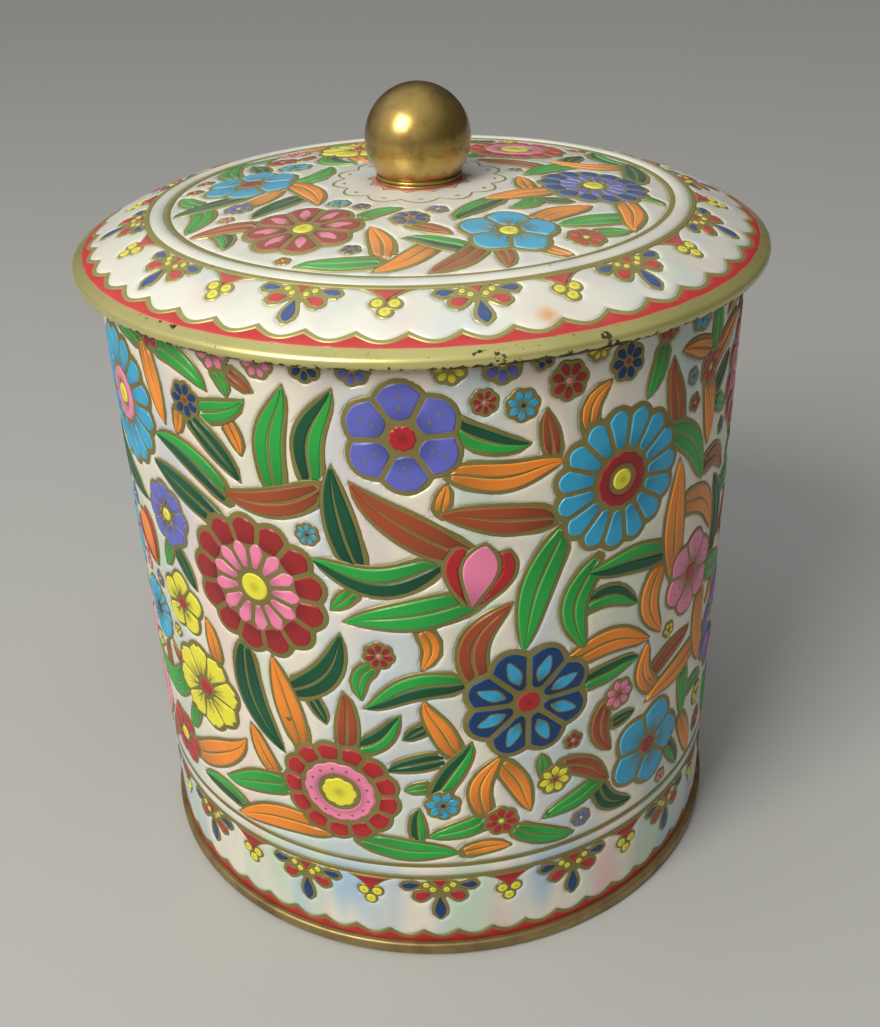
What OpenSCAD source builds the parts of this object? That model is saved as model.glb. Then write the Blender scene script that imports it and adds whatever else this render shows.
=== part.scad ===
// Round pressed tin with a seamed bottom, a domed lift-off lid and a ball knob.
// Millimetres, +Z up. The origin is the centre of the foot ring, on the surface the tin stands on.

/* [Body] */
// Outside diameter of the wall
body_d = 120; // [90:1:160]
// Height of the mouth above the floor
body_h = 126.3; // [80:0.1:180]
// Thickness of the tinplate
sheet_t = 0.3; // [0.2:0.02:0.4]
// Diameter of the inward curl at the mouth
mouth_curl_d = 1.8; // [1.4:0.1:3]
// Width of the lock seam inside the wall
seam_w = 5; // [3:0.5:9]

/* [Bottom] */
// Height of the double seam that the tin stands on
bead_h = 3; // [2.6:0.1:5]
// Space between the folded layers of the double seam
fold_gap = 0.1; // [0.06:0.01:0.14]
// Height of the bottom panel above the floor
panel_lift = 3.1; // [2.6:0.1:6]
// Radius of the raised centre of the bottom panel
panel_step_r = 47; // [20:1:50]
// Rise of the raised centre of the bottom panel
panel_step = 0.8; // [0.4:0.1:2]

/* [Lid] */
// Clear space between the wall and the rolled rim
rim_gap = 1.75; // [0.8:0.05:4]
// Diameter of the rolled rim
rim_curl_d = 2.4; // [2:0.1:4]
// Height of the lid's crown above the mouth
lid_rise = 10.45; // [9:0.05:16]
// Slope of the lid where it meets the rolled rim, in degrees
rim_slope = 30; // [22:1:36]
// Length over which the shoulder bends, measured inward from the rim
shoulder_reach = 6.55; // [5:0.05:9]
// Width of the border, from the rim's edge to the raised ring
border_w = 14.75; // [12:0.05:19]
// Width of the raised ring
ring_w = 3.1; // [2:0.1:5]
// Rise of the raised ring
ring_rise = 0.35; // [0.2:0.05:0.8]
// Drop of the lid's top from the crown to the raised ring
crown_drop = 3.15; // [1.5:0.05:4.5]

/* [Lid fit] */
// Depth of the collar below the mouth
collar_depth = 12; // [6:0.5:25]
// Radial clearance between the collar and the mouth
collar_gap = 0.3; // [0.2:0.05:0.6]
// Clearance between the collar's flange and the top of the mouth
seat_gap = 0.2; // [0.15:0.05:0.5]
// Diameter of the curl at the collar's lower edge
collar_curl_d = 1.4; // [1:0.1:2.4]

/* [Knob] */
// Diameter of the ball
ball_d = 19.4; // [17:0.1:26]
// Thickness of the ball's wall
ball_t = 0.5; // [0.3:0.05:0.8]
// Diameter of the ball's neck
neck_d = 14.8; // [13:0.1:16]
// Height of the foot ring, which has two beads
base_h = 1.3; // [0.8:0.1:3]
// How far the lower bead stands out from the neck
base_flare = 0.6; // [0.4:0.05:1.5]
// How far the upper bead stands back from the lower one
base_step = 0.2; // [0.1:0.05:0.35]
// Clearance between the plug and the inside of the ball
plug_gap = 0.1; // [0.05:0.05:0.3]
// Height of the plug's flange, caught above the neck
plug_flange_h = 2.2; // [1.5:0.1:4]
// Diameter of the plug's boss
boss_d = 8; // [6.5:0.1:10]
// Height of the plug's boss above its flange
boss_h = 5; // [3:0.1:7]

/* [Fastener] */
// Diameter of the screw's shank
screw_d = 4; // [3:0.1:5]
// Radial clearance of the shank in the lid, the foot ring and the washer
hole_gap = 0.2; // [0.1:0.05:0.4]
// Radial clearance of the shank in the plug's thread
thread_gap = 0.05; // [0.02:0.01:0.1]
// Thread left free above the screw's tip
tip_gap = 0.8; // [0.3:0.1:1.5]
// Diameter of the screw's head
head_d = 7.2; // [6.2:0.1:9]
// Height of the screw's head
head_h = 2.2; // [1.6:0.1:3]
// Width of the slot in the screw's head
slot_w = 1; // [0.6:0.1:1.4]
// Depth of the slot in the screw's head
slot_h = 1; // [0.6:0.1:1.3]
// Diameter of the washer
washer_d = 10; // [9:0.1:16]
// Thickness of the washer
washer_t = 0.8; // [0.4:0.1:1.6]

/* [Hidden] */
$fn = 96;

// Angle between the points of a small bend, in degrees
bend_step = 15;
// Points along the lid's crown, raised ring and shoulder
crown_n = 10;
ring_n = 8;
shoulder_n = 12;

// Wall and mouth
body_r = body_d / 2;
wall_mid = body_r - sheet_t / 2;
mouth_curl_r = (mouth_curl_d - sheet_t) / 2;
mouth_in_r = body_r - mouth_curl_d;
mouth_curl_end = 270;

// Double seam: the wall's hook and the bottom's hook lie one fold apart
fold = sheet_t + fold_gap;
hook_mid = wall_mid + 2 * fold;
hook_floor = sheet_t / 2 + fold;
hook_top = bead_h - sheet_t / 2 - fold - fold_gap;
cover_hook_mid = wall_mid + fold;
cover_hook_end = hook_floor + sheet_t / 2 + 2 * fold_gap;
bead_mid = wall_mid + 3 * fold;
bead_corner = 2.25 * fold;
chuck_mid = wall_mid - fold;
chuck_corner = sheet_t;

// Lid
lid_r = body_r + rim_gap + rim_curl_d;
rim_c = lid_r - rim_curl_d / 2;
rim_mid = (rim_curl_d - sheet_t) / 2;
rim_end = -155;
rim_z = body_h + seat_gap + sheet_t / 2;
crown_z = body_h + lid_rise;
ring_out_r = lid_r - border_w;
ring_in_r = ring_out_r - ring_w;
seat_r = neck_d / 2 + base_flare + 1;
lid_hole_r = screw_d / 2 + hole_gap;
crown_mid = crown_z - sheet_t / 2;
ring_mid = crown_mid - crown_drop;
rim_join = [rim_c + rim_mid * sin(rim_slope), rim_z + rim_mid * cos(rim_slope)];
shoulder_bend = rim_join + shoulder_reach * [-1, tan(rim_slope)];

// Collar
collar_mid = mouth_in_r - collar_gap - sheet_t / 2;
collar_corner = 2 * sheet_t;
collar_low = body_h - collar_depth;
collar_curl_r = (collar_curl_d - sheet_t) / 2;
flange_end = rim_c + rim_curl_d / 2 - sheet_t - fold_gap;

// Knob and fastener
ball_r = ball_d / 2;
neck_z = crown_z + base_h;
ball_z = neck_z + sqrt(pow(ball_r, 2) - pow(neck_d / 2, 2));
bead_r = base_h / 4;
plug_r = ball_r - ball_t - plug_gap;
boss_top = neck_z + plug_flange_h + boss_h;
screw_tip = boss_top - tip_gap;
washer_top = crown_z - sheet_t;
head_top = washer_top - washer_t;
head_edge = head_h / 2;

// Points on an arc about c, from angle a0 to angle a1
function arc(c, r, a0, a1) =
    let (n = max(2, ceil(abs(a1 - a0) / bend_step)))
    [for (i = [0 : n]) let (a = a0 + (a1 - a0) * i / n) c + r * [cos(a), sin(a)]];

// Points on the quadratic curve from a to b that bends towards m
function bend(a, m, b, n) =
    [for (i = [1 : n]) let (t = i / n) (1 - t) * (1 - t) * a + 2 * t * (1 - t) * m + t * t * b];

// Unit normal of the straight run from a to b, to its left
function run_normal(a, b) = let (d = (b - a) / norm(b - a)) [-d[1], d[0]];

// Normal of a path at point i, lengthened at a corner so that both its runs keep their thickness
function path_normal(p, i) =
    let (last = len(p) - 1,
         k = max(i, 1),
         m = min(i, last - 1),
         a = run_normal(p[k - 1], p[k]),
         b = run_normal(p[m], p[m + 1]))
    (a + b) / (1 + a * b);

// Outline of a sheet of thickness t whose middle follows the path p
function sheet(p, t) = concat(
    [for (i = [0 : len(p) - 1]) p[i] + path_normal(p, i) * t / 2],
    [for (i = [len(p) - 1 : -1 : 0]) p[i] - path_normal(p, i) * t / 2]);

// Middle of the wall's sheet: hook, wall and mouth curl
wall_path = concat(
    [[hook_mid, hook_top]],
    arc([wall_mid + fold, hook_floor + fold], fold, 0, -180),
    arc([wall_mid - mouth_curl_r, body_h - sheet_t / 2 - mouth_curl_r], mouth_curl_r, 0, mouth_curl_end));

// Middle of the bottom's sheet: panel, wall of the recess, foot, bead and hook
panel_mid = panel_lift + sheet_t / 2;
bottom_path = concat(
    [[0, panel_mid + panel_step],
     [panel_step_r, panel_mid + panel_step],
     [panel_step_r + 2 * panel_step, panel_mid]],
    arc([chuck_mid - chuck_corner, panel_mid - chuck_corner], chuck_corner, 90, 0),
    arc([chuck_mid + chuck_corner, sheet_t / 2 + chuck_corner], chuck_corner, 180, 270),
    arc([bead_mid - bead_corner, sheet_t / 2 + bead_corner], bead_corner, -90, 0),
    arc([hook_mid, bead_h - sheet_t / 2 - fold], fold, 0, 180),
    [[cover_hook_mid, cover_hook_end]]);

// Middle of the lid's sheet: seat, crown, raised ring, shoulder and rolled rim
lid_path = concat(
    [[lid_hole_r, crown_mid], [seat_r, crown_mid]],
    [for (i = [1 : crown_n]) let (t = i / crown_n)
        [seat_r + (ring_in_r - seat_r) * t, crown_mid - crown_drop * t * t]],
    [for (i = [1 : ring_n]) let (t = i / ring_n)
        [ring_in_r + ring_w * t, ring_mid + ring_rise * sin(180 * t)]],
    bend([ring_out_r, ring_mid], shoulder_bend, rim_join, shoulder_n),
    arc([rim_c, rim_z], rim_mid, 90 - rim_slope - bend_step, rim_end));

// Middle of the collar's sheet: flange, hoop and lower curl
collar_path = concat(
    [[flange_end, rim_z]],
    arc([collar_mid + collar_corner, rim_z - collar_corner], collar_corner, 90, 180),
    arc([collar_mid - collar_curl_r, collar_low + sheet_t / 2 + collar_curl_r], collar_curl_r, 0, -180));

// A sheet piece turned about the tin's axis
module pressed(path) {
    rotate_extrude()
        polygon(sheet(path, sheet_t));
}

module body_wall() {
    seam_low = panel_mid + panel_step + sheet_t;
    seam_high = body_h - mouth_curl_d - sheet_t;
    color("ivory") {
        pressed(wall_path);
        // The lock seam adds two layers to the inside of the wall at the back
        intersection() {
            rotate_extrude()
                translate([body_r - 3 * sheet_t, seam_low])
                    square([2.5 * sheet_t, seam_high - seam_low]);
            translate([-seam_w / 2, 0, 0])
                cube([seam_w, body_r, body_h]);
        }
    }
}

module bottom_end() {
    color("peru")
        pressed(bottom_path);
}

module lid_cover() {
    color("ivory")
        pressed(lid_path);
}

module lid_collar() {
    color("darkgoldenrod")
        pressed(collar_path);
}

module knob_ball() {
    color("goldenrod")
        difference() {
            translate([0, 0, ball_z])
                sphere(r = ball_r);
            translate([0, 0, ball_z])
                sphere(r = ball_r - ball_t);
            translate([0, 0, neck_z - ball_d])
                cylinder(r = ball_d, h = ball_d);
        }
}

module knob_base() {
    low_r = neck_d / 2 + base_flare - bead_r;
    high_r = low_r - base_step;
    color("goldenrod")
        rotate_extrude()
            polygon(concat(
                [[lid_hole_r, crown_z]],
                arc([low_r, crown_z + bead_r], bead_r, -90, 90),
                arc([high_r, crown_z + 3 * bead_r], bead_r, -90, 90),
                [[lid_hole_r, neck_z]]));
}

module knob_plug() {
    color("darkgoldenrod")
        difference() {
            union() {
                intersection() {
                    translate([0, 0, ball_z])
                        sphere(r = plug_r);
                    translate([0, 0, neck_z])
                        cylinder(r = ball_r, h = plug_flange_h);
                }
                translate([0, 0, neck_z])
                    cylinder(d = boss_d, h = plug_flange_h + boss_h);
            }
            translate([0, 0, neck_z - 1])
                cylinder(r = screw_d / 2 + thread_gap, h = boss_top - neck_z + 2);
        }
}

module knob_screw() {
    color("silver")
        difference() {
            rotate_extrude()
                polygon(concat(
                    [[0, head_top - head_h]],
                    arc([head_d / 2 - head_edge, head_top - head_h + head_edge], head_edge, -90, 0),
                    [[head_d / 2, head_top],
                     [screw_d / 2, head_top],
                     [screw_d / 2, screw_tip - screw_d / 4],
                     [screw_d / 4, screw_tip],
                     [0, screw_tip]]));
            translate([-head_d, -slot_w / 2, head_top - head_h - slot_h])
                cube([2 * head_d, slot_w, 2 * slot_h]);
        }
}

module screw_washer() {
    color("silver")
        difference() {
            translate([0, 0, head_top])
                cylinder(d = washer_d, h = washer_t);
            translate([0, 0, head_top - 1])
                cylinder(r = lid_hole_r, h = washer_t + 2);
        }
}

body_wall();
bottom_end();
lid_cover();
lid_collar();
knob_ball();
knob_base();
knob_plug();
knob_screw();
screw_washer();
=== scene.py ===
"""Looks of a round printed tin: pressed shells, raised enamel print in gold lines, rolled rims, a ball knob.

All sizes are millimetres until a mesh is made. +Z is up and -Y is the side that faces the camera.
"""

import logging
import math
from abc import ABC, abstractmethod
from collections.abc import Callable
from dataclasses import dataclass, replace
from enum import Enum

import bmesh
import bpy
import numpy as np
from bpy.types import Material, Node, NodeSocket, NodeTree, Object
from mathutils import Matrix, Vector


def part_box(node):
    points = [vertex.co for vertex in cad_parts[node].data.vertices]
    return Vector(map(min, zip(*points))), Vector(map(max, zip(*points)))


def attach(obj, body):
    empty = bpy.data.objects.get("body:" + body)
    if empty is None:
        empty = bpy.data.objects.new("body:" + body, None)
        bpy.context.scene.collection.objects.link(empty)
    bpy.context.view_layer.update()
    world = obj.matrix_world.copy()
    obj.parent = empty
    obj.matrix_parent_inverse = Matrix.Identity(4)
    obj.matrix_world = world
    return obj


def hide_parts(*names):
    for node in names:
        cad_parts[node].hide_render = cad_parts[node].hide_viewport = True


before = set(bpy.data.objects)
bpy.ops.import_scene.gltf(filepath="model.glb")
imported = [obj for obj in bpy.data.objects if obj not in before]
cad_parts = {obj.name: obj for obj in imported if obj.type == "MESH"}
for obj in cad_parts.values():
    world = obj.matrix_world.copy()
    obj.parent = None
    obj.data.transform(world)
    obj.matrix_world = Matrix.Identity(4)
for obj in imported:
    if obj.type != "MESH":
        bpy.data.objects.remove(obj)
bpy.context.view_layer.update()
LOG = logging.getLogger("tin")
MM = 0.001
TURNS = 256
SHARP_ANGLE = math.radians(24.0)
Array = np.ndarray
Curve = Callable[[Array], Array]
Value = float | NodeSocket
Colour = tuple[float, float, float] | NodeSocket


def srgb(text: str) -> tuple[float, float, float]:
    """Linear colour of a hex colour.

    Args:
        text: The hex colour, such as #3fb0d8.

    Returns:
        Red, green and blue from 0 to 1.
    """
    values = np.array([int(text[i:i + 2], 16) for i in (1, 3, 5)]) / 255.0
    linear = np.where(values <= 0.04045, values / 12.92, ((values + 0.055) / 1.055) ** 2.4)
    return tuple(float(v) for v in linear)


class Ink(Enum):
    """The printing inks. A value is the word used in the names of pieces and finishes."""

    GOLD = "gold"
    TURQUOISE = "turquoise"
    PINK = "pink"
    ROSE = "rose"
    NAVY = "navy"
    RED = "red"
    WINE = "wine"
    VIOLET = "violet"
    ORANGE = "orange"
    RUST = "rust"
    GREEN = "green"
    PINE = "pine"
    YELLOW = "yellow"


@dataclass(frozen=True)
class TinSizes:
    """Driving sizes of the tin. Those without a value here are read from the frame."""

    bead_r: float
    mouth_z: float
    lid_r: float
    crown_z: float
    neck_z: float
    base_r: float
    ball_r: float
    ball_z: float
    collar_low: float
    sheet: float = 0.3
    fold: float = 0.4
    mouth_curl: float = 1.8
    bead_h: float = 3.0
    panel_lift: float = 3.1
    panel_step_r: float = 47.0
    panel_step: float = 0.8
    rim_curl: float = 2.4
    rim_slope: float = 30.0
    shoulder_reach: float = 6.55
    border_w: float = 14.75
    ring_w: float = 3.1
    ring_rise: float = 0.35
    crown_drop: float = 3.15
    seat_gap: float = 0.2
    seat_r: float = 9.0
    hole_r: float = 2.2
    collar_gap: float = 0.3
    collar_curl: float = 1.4
    base_step: float = 0.2
    ball_t: float = 0.5
    seam_w: float = 5.0

    @classmethod
    def from_frame(cls) -> "TinSizes":
        """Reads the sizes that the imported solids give.

        Returns:
            The sizes, in millimetres.
        """
        top = {name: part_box(name)[1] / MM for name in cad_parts}
        low = {name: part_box(name)[0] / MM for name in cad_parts}
        ball_r = (top["knob_ball"].x - low["knob_ball"].x) / 2.0
        return cls(
            bead_r=top["bottom_end"].x,
            mouth_z=top["body_wall"].z,
            lid_r=top["lid_cover"].x,
            crown_z=low["knob_base"].z,
            neck_z=top["knob_base"].z,
            base_r=top["knob_base"].x,
            ball_r=ball_r,
            ball_z=top["knob_ball"].z - ball_r,
            collar_low=low["lid_collar"].z,
        )

    @property
    def wall_r(self) -> float:
        """Outer radius of the wall: three folds inside the bead of the double seam."""
        return self.bead_r - 3.0 * self.fold

    @property
    def ring_out(self) -> float:
        """Outer radius of the lid's raised ring."""
        return self.lid_r - self.border_w

    @property
    def ring_in(self) -> float:
        """Inner radius of the lid's raised ring."""
        return self.ring_out - self.ring_w

    @property
    def rim_c(self) -> float:
        """Radius of the middle of the rolled rim."""
        return self.lid_r - self.rim_curl / 2.0

    @property
    def rim_z(self) -> float:
        """Height of the middle of the rolled rim."""
        return self.mouth_z + self.seat_gap + self.sheet / 2.0


SIZES = TinSizes.from_frame()


def arc(c_r: float, c_z: float, r: float, a0: float, a1: float, count: int) -> Array:
    """Points on a circle about (c_r, c_z), at even angles.

    Args:
        c_r: Radius of the centre from the tin's axis.
        c_z: Height of the centre.
        r: Radius of the circle.
        a0: First angle in degrees, from the outward direction.
        a1: Last angle in degrees.
        count: Number of points.

    Returns:
        An array of count rows of radius and height.
    """
    a = np.radians(np.linspace(a0, a1, count))
    return np.stack([c_r + r * np.cos(a), c_z + r * np.sin(a)], axis=1)


def thick(path: Array, sheet: float) -> Array:
    """Closed outline of a sheet whose middle follows a path.

    Each point moves half the thickness along the mitred normal, to the left and back on the right.

    Args:
        path: Rows of radius and height.
        sheet: Thickness of the sheet.

    Returns:
        Rows of radius and height, all round the sheet.
    """
    run = np.diff(path, axis=0)
    run /= np.linalg.norm(run, axis=1, keepdims=True)
    normal = np.stack([-run[:, 1], run[:, 0]], axis=1)
    before = np.vstack([normal[:1], normal])
    after = np.vstack([normal, normal[-1:]])
    mitre = (before + after) / (1.0 + (before * after).sum(axis=1, keepdims=True))
    return np.vstack([path + mitre * sheet / 2.0, (path - mitre * sheet / 2.0)[::-1]])


class LidProfile:
    """Height of the lid's upper face over its radius."""

    def __init__(self, sizes: TinSizes) -> None:
        """Works out the points of the shoulder once.

        Args:
            sizes: Sizes of the tin.
        """
        self.sizes = sizes
        s = sizes
        slope = math.radians(s.rim_slope)
        mid = (s.rim_curl - s.sheet) / 2.0
        self.join = np.array([s.rim_c + mid * math.sin(slope), s.rim_z + mid * math.cos(slope)])
        bend = self.join + s.shoulder_reach * np.array([-1.0, math.tan(slope)])
        start = np.array([s.ring_out, s.crown_z - s.sheet / 2.0 - s.crown_drop])
        t = np.linspace(0.0, 1.0, 40)[:, None]
        self.shoulder = (1 - t) ** 2 * start + 2 * t * (1 - t) * bend + t ** 2 * self.join

    def middle(self, r: Array) -> Array:
        """Height of the middle of the sheet: flat seat, parabola, half wave and quadratic shoulder.

        Args:
            r: Radii, up to the rolled rim.

        Returns:
            Heights, one for each radius.
        """
        s = self.sizes
        crown = s.crown_z - s.sheet / 2.0
        share = np.clip((r - s.seat_r) / (s.ring_in - s.seat_r), 0.0, 1.0)
        wave = np.clip((r - s.ring_in) / s.ring_w, 0.0, 1.0)
        top = crown - s.crown_drop * share ** 2 + s.ring_rise * np.sin(np.pi * wave)
        side = np.interp(r, self.shoulder[:, 0], self.shoulder[:, 1])
        return np.where(r > s.ring_out, side, top)

    def top(self, r: Array) -> Array:
        """Height of the upper face."""
        return self.middle(r) + self.sizes.sheet / 2.0


PROFILE = LidProfile(SIZES)


def grid_faces(rows: int, cols: int, wrap: bool) -> Array:
    """Triangles of a grid of points that is stored row by row.

    Args:
        rows: Number of rows.
        cols: Number of columns.
        wrap: True if the last row joins the first.

    Returns:
        Rows of three point numbers.
    """
    i = np.arange(rows if wrap else rows - 1)[:, None]
    j = np.arange(cols - 1)[None, :]
    k = (i + 1) % rows
    a, b, c, d = i * cols + j, k * cols + j, k * cols + j + 1, i * cols + j + 1
    return np.stack([a, b, c, a, c, d], axis=-1).reshape(-1, 3)


def make_object(name: str, points: Array, faces: Array, solid: bool,
                **layers: Array) -> Object:
    """Puts points and triangles into a new object at the origin.

    Args:
        name: Name of the piece.
        points: Rows of x, y and z in millimetres.
        faces: Rows of three point numbers.
        solid: True for a closed piece, whose doubles are merged and whose faces then turn outwards.
        layers: Values of the points for the finishes to read, for a piece that isn't closed.

    Returns:
        The new object, linked to the scene.
    """
    mesh = bpy.data.meshes.new(name)
    mesh.vertices.add(len(points))
    mesh.vertices.foreach_set("co", (points * MM).astype(np.float32).ravel())
    mesh.loops.add(faces.size)
    mesh.loops.foreach_set("vertex_index", faces.astype(np.int32).ravel())
    mesh.polygons.add(len(faces))
    mesh.polygons.foreach_set("loop_start", np.arange(0, faces.size, 3, dtype=np.int32))
    mesh.update(calc_edges=True)
    for key, values in layers.items():
        layer = mesh.attributes.new(key, "FLOAT", "POINT")
        layer.data.foreach_set("value", values.astype(np.float32).ravel())
    if solid:
        work = bmesh.new()
        work.from_mesh(mesh)
        bmesh.ops.remove_doubles(work, verts=work.verts, dist=1e-7)
        bmesh.ops.dissolve_degenerate(work, edges=work.edges, dist=1e-7)
        bmesh.ops.recalc_face_normals(work, faces=work.faces)
        work.to_mesh(mesh)
        work.free()
    mesh.polygons.foreach_set("use_smooth", np.ones(len(mesh.polygons), dtype=bool))
    mesh.set_sharp_from_angle(angle=SHARP_ANGLE)
    made = bpy.data.objects.new(name, mesh)
    bpy.context.scene.collection.objects.link(made)
    return made


def revolve(name: str, section: Array) -> Object:
    """A closed section turned about the tin's axis.

    Args:
        name: Name of the piece.
        section: Rows of radius and height, all round the section.

    Returns:
        The new object.
    """
    a = np.linspace(0.0, 2.0 * np.pi, TURNS, endpoint=False)[:, None]
    ring = np.vstack([section, section[:1]])
    r, z = ring[None, :, 0], ring[None, :, 1]
    points = np.stack([r * np.sin(a), -r * np.cos(a), z + 0.0 * a], axis=-1)
    faces = grid_faces(TURNS, len(ring), wrap=True)
    return make_object(name, points.reshape(-1, 3), faces, solid=True)


class Chart(ABC):
    """A flat sheet of print, with u to the right and v up, that is laid over a face of the tin."""

    @abstractmethod
    def place(self, u: Array, v: Array, h: Array) -> Array:
        """Places print on the face.

        Args:
            u: Places to the right.
            v: Places upwards.
            h: Heights above the face.

        Returns:
            The x, y and z of the points, on the last axis.
        """


@dataclass(frozen=True)
class WallChart(Chart):
    """The wall: u is length round the wall from its front, v is height above the floor."""

    radius: float

    def place(self, u: Array, v: Array, h: Array) -> Array:
        """Wraps the sheet round a cylinder: angle is u over the radius, and h adds to the radius."""
        a, r = u / self.radius, self.radius + h
        return np.stack([r * np.sin(a), -r * np.cos(a), v + 0.0 * h], axis=-1)


@dataclass(frozen=True)
class DomeChart(Chart):
    """The lid seen from above: u is x, v is y."""

    profile: LidProfile

    def place(self, u: Array, v: Array, h: Array) -> Array:
        """Drapes the sheet over the lid: height is the profile at the radius of the point, plus h."""
        return np.stack([u, v, self.profile.top(np.hypot(u, v)) + h], axis=-1)


@dataclass(frozen=True)
class BorderChart(Chart):
    """The lid's border: u is length round the circle at v of 0, and v is inward from it."""

    profile: LidProfile
    radius: float

    def place(self, u: Array, v: Array, h: Array) -> Array:
        """Bends the sheet round the lid: angle is u over the radius, and the profile gives the height."""
        a, r = u / self.radius, self.radius - v
        return np.stack([r * np.sin(a), -r * np.cos(a), self.profile.top(r) + h], axis=-1)


# Heights of the gold plates, of the sunk edge of a cell, of the raised inks and of the skins' own edges
PLATE_H = 0.06
SINK = 0.06
RELIEF = 0.17
SKIN_EDGE = -0.14


@dataclass
class Cell:
    """A grid of print: places u and v on a chart, and heights h.

    The rim is 0 at the cell's edge and 1 a bevel inside it, and along runs from 0 at its root to 1 at its
    tip. The points marked in gone lie under another figure.
    """

    u: Array
    v: Array
    h: Array
    rim: Array
    along: Array
    wrap: bool = False
    gone: Array | None = None

    def moved(self, u: float, v: float, turn: float = 0.0) -> "Cell":
        """The cell turned by an angle in radians and then moved."""
        c, s = math.cos(turn), math.sin(turn)
        return replace(self, u=u + c * self.u - s * self.v, v=v + s * self.u + c * self.v)

    def lifted(self, rise: float) -> "Cell":
        """The cell at a greater height."""
        return replace(self, h=self.h + rise)

    def clipped(self, rings: list[Array], top: float, reach: float, offset: Curve) -> "Cell":
        """Draws the points that lie inside other figures, or beyond the sheet, back to their edges.

        Args:
            rings: Edges of the figures that lie over this cell.
            top: Highest v of the sheet.
            reach: Largest distance from the sheet's middle.
            offset: Function that takes a difference in u the short way round.

        Returns:
            The clipped cell.
        """
        points = np.stack([self.u.ravel(), self.v.ravel()], axis=1)
        far = np.hypot(points[:, 0], points[:, 1])
        gone = (points[:, 1] > top) | (far > reach)
        points[:, 1] = np.minimum(points[:, 1], top)
        points = np.where((far > reach)[:, None], points * (reach / np.maximum(far, 1e-6))[:, None], points)
        low, high = points.min(axis=0), points.max(axis=0)
        middle = (low[0] + high[0]) / 2.0
        for ring in rings:
            centre = (ring[:, 0].min() + ring[:, 0].max()) / 2.0
            near = ring + np.array([middle + float(offset(centre - middle)) - centre, 0.0])
            if (near.min(axis=0) > high).any() or (near.max(axis=0) < low).any():
                continue
            covered = inside(points, near)
            if covered.any():
                gap = ((points[covered][:, None, :] - near[None, :, :]) ** 2).sum(axis=-1)
                points[covered] = near[gap.argmin(axis=1)]
                gone |= covered
        if not gone.any():
            return self
        shape = self.u.shape
        lost = gone.reshape(shape)
        h = np.where(lost, np.minimum(self.h, 0.0), self.h)
        return replace(self, u=points[:, 0].reshape(shape), v=points[:, 1].reshape(shape), h=h, gone=lost)


def inside(points: Array, ring: Array) -> Array:
    """Which points lie inside a closed ring, by counting the sides that a ray to the right crosses.

    Args:
        points: Rows of u and v.
        ring: Rows of u and v round the ring.

    Returns:
        One truth value for each point.
    """
    nxt = np.roll(ring, -1, axis=0)
    pu, pv = points[:, 0:1], points[:, 1:2]
    spans = (ring[None, :, 1] > pv) != (nxt[None, :, 1] > pv)
    rise = np.where(nxt[:, 1] == ring[:, 1], 1e-9, nxt[:, 1] - ring[:, 1])
    cross = ring[None, :, 0] + (pv - ring[None, :, 1]) / rise[None, :] * (nxt - ring)[None, :, 0]
    return (spans & (pu < cross)).sum(axis=1) % 2 == 1


def edge_share(span: float, rise: float) -> float:
    """The share of a span that a bevel takes, which is twice as wide as it is high."""
    return float(np.clip(2.0 * rise / span, 0.03, 0.3))


def steps(count: int, edge: float) -> Array:
    """Shares from 0 to 1 in even steps, with a bevel as the first and the last step."""
    return np.concatenate([[0.0], np.linspace(edge, 1.0 - edge, count - 2), [1.0]])


def plateau(share: Array, edge: float) -> Array:
    """0 at both ends of a span, and 1 from a bevel inside them."""
    return np.clip(np.minimum(share, 1.0 - share) / edge, 0.0, 1.0)


def swell(rim: Array, base: float, rise: float) -> Array:
    """Height of a cell that starts sunk below its base at the edge and reaches base plus rise."""
    return base - SINK + (SINK + rise) * rim


def scallop(a: Array, radius: float, lobes: int, depth: float) -> Array:
    """Radius of a lobed edge, which loses depth towards each cusp as 1 - |cos| does.

    Args:
        a: Angles, with a lobe at 0.
        radius: Radius at the lobes.
        lobes: Number of lobes.
        depth: What the radius loses between lobes.

    Returns:
        Radii, one for each angle.
    """
    return radius - depth * (1.0 - np.abs(np.cos(lobes * a / 2.0)))


def disc_cell(inner: float, radius: float, lobes: int, depth: float, base: float, rise: float) -> Cell:
    """A disc, or a ring where inner is over 0, with a round or lobed edge.

    Angle runs round and the share q runs from the inner edge, or the centre, to the lobed outer edge.

    Args:
        inner: Inner radius.
        radius: Outer radius at the lobes.
        lobes: Number of lobes.
        depth: What the radius loses between lobes.
        base: Height that the disc lies on.
        rise: Swell of the disc.

    Returns:
        The disc's cell.
    """
    count = lobes * (8 if lobes < 12 else 6) if depth > 0.0 else int(np.clip(radius * 14, 10, 48))
    a = np.linspace(0.0, 2.0 * np.pi, count, endpoint=False)[:, None]
    edge = edge_share(radius - inner, rise)
    rings = int(np.clip(radius / 2.5, 1, 6))
    q = steps(4, edge) if inner > 0.0 else np.append(np.linspace(0.0, 1.0 - edge, rings + 1), 1.0)
    rim = plateau(q, edge) if inner > 0.0 else np.clip((1.0 - q) / edge, 0.0, 1.0)
    r = inner + (scallop(a, radius, lobes, depth) - inner) * q
    rim, along = rim + 0.0 * r, q + 0.0 * r
    return Cell(r * np.cos(a), r * np.sin(a), swell(rim, base, rise), rim, along, wrap=True)


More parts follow.
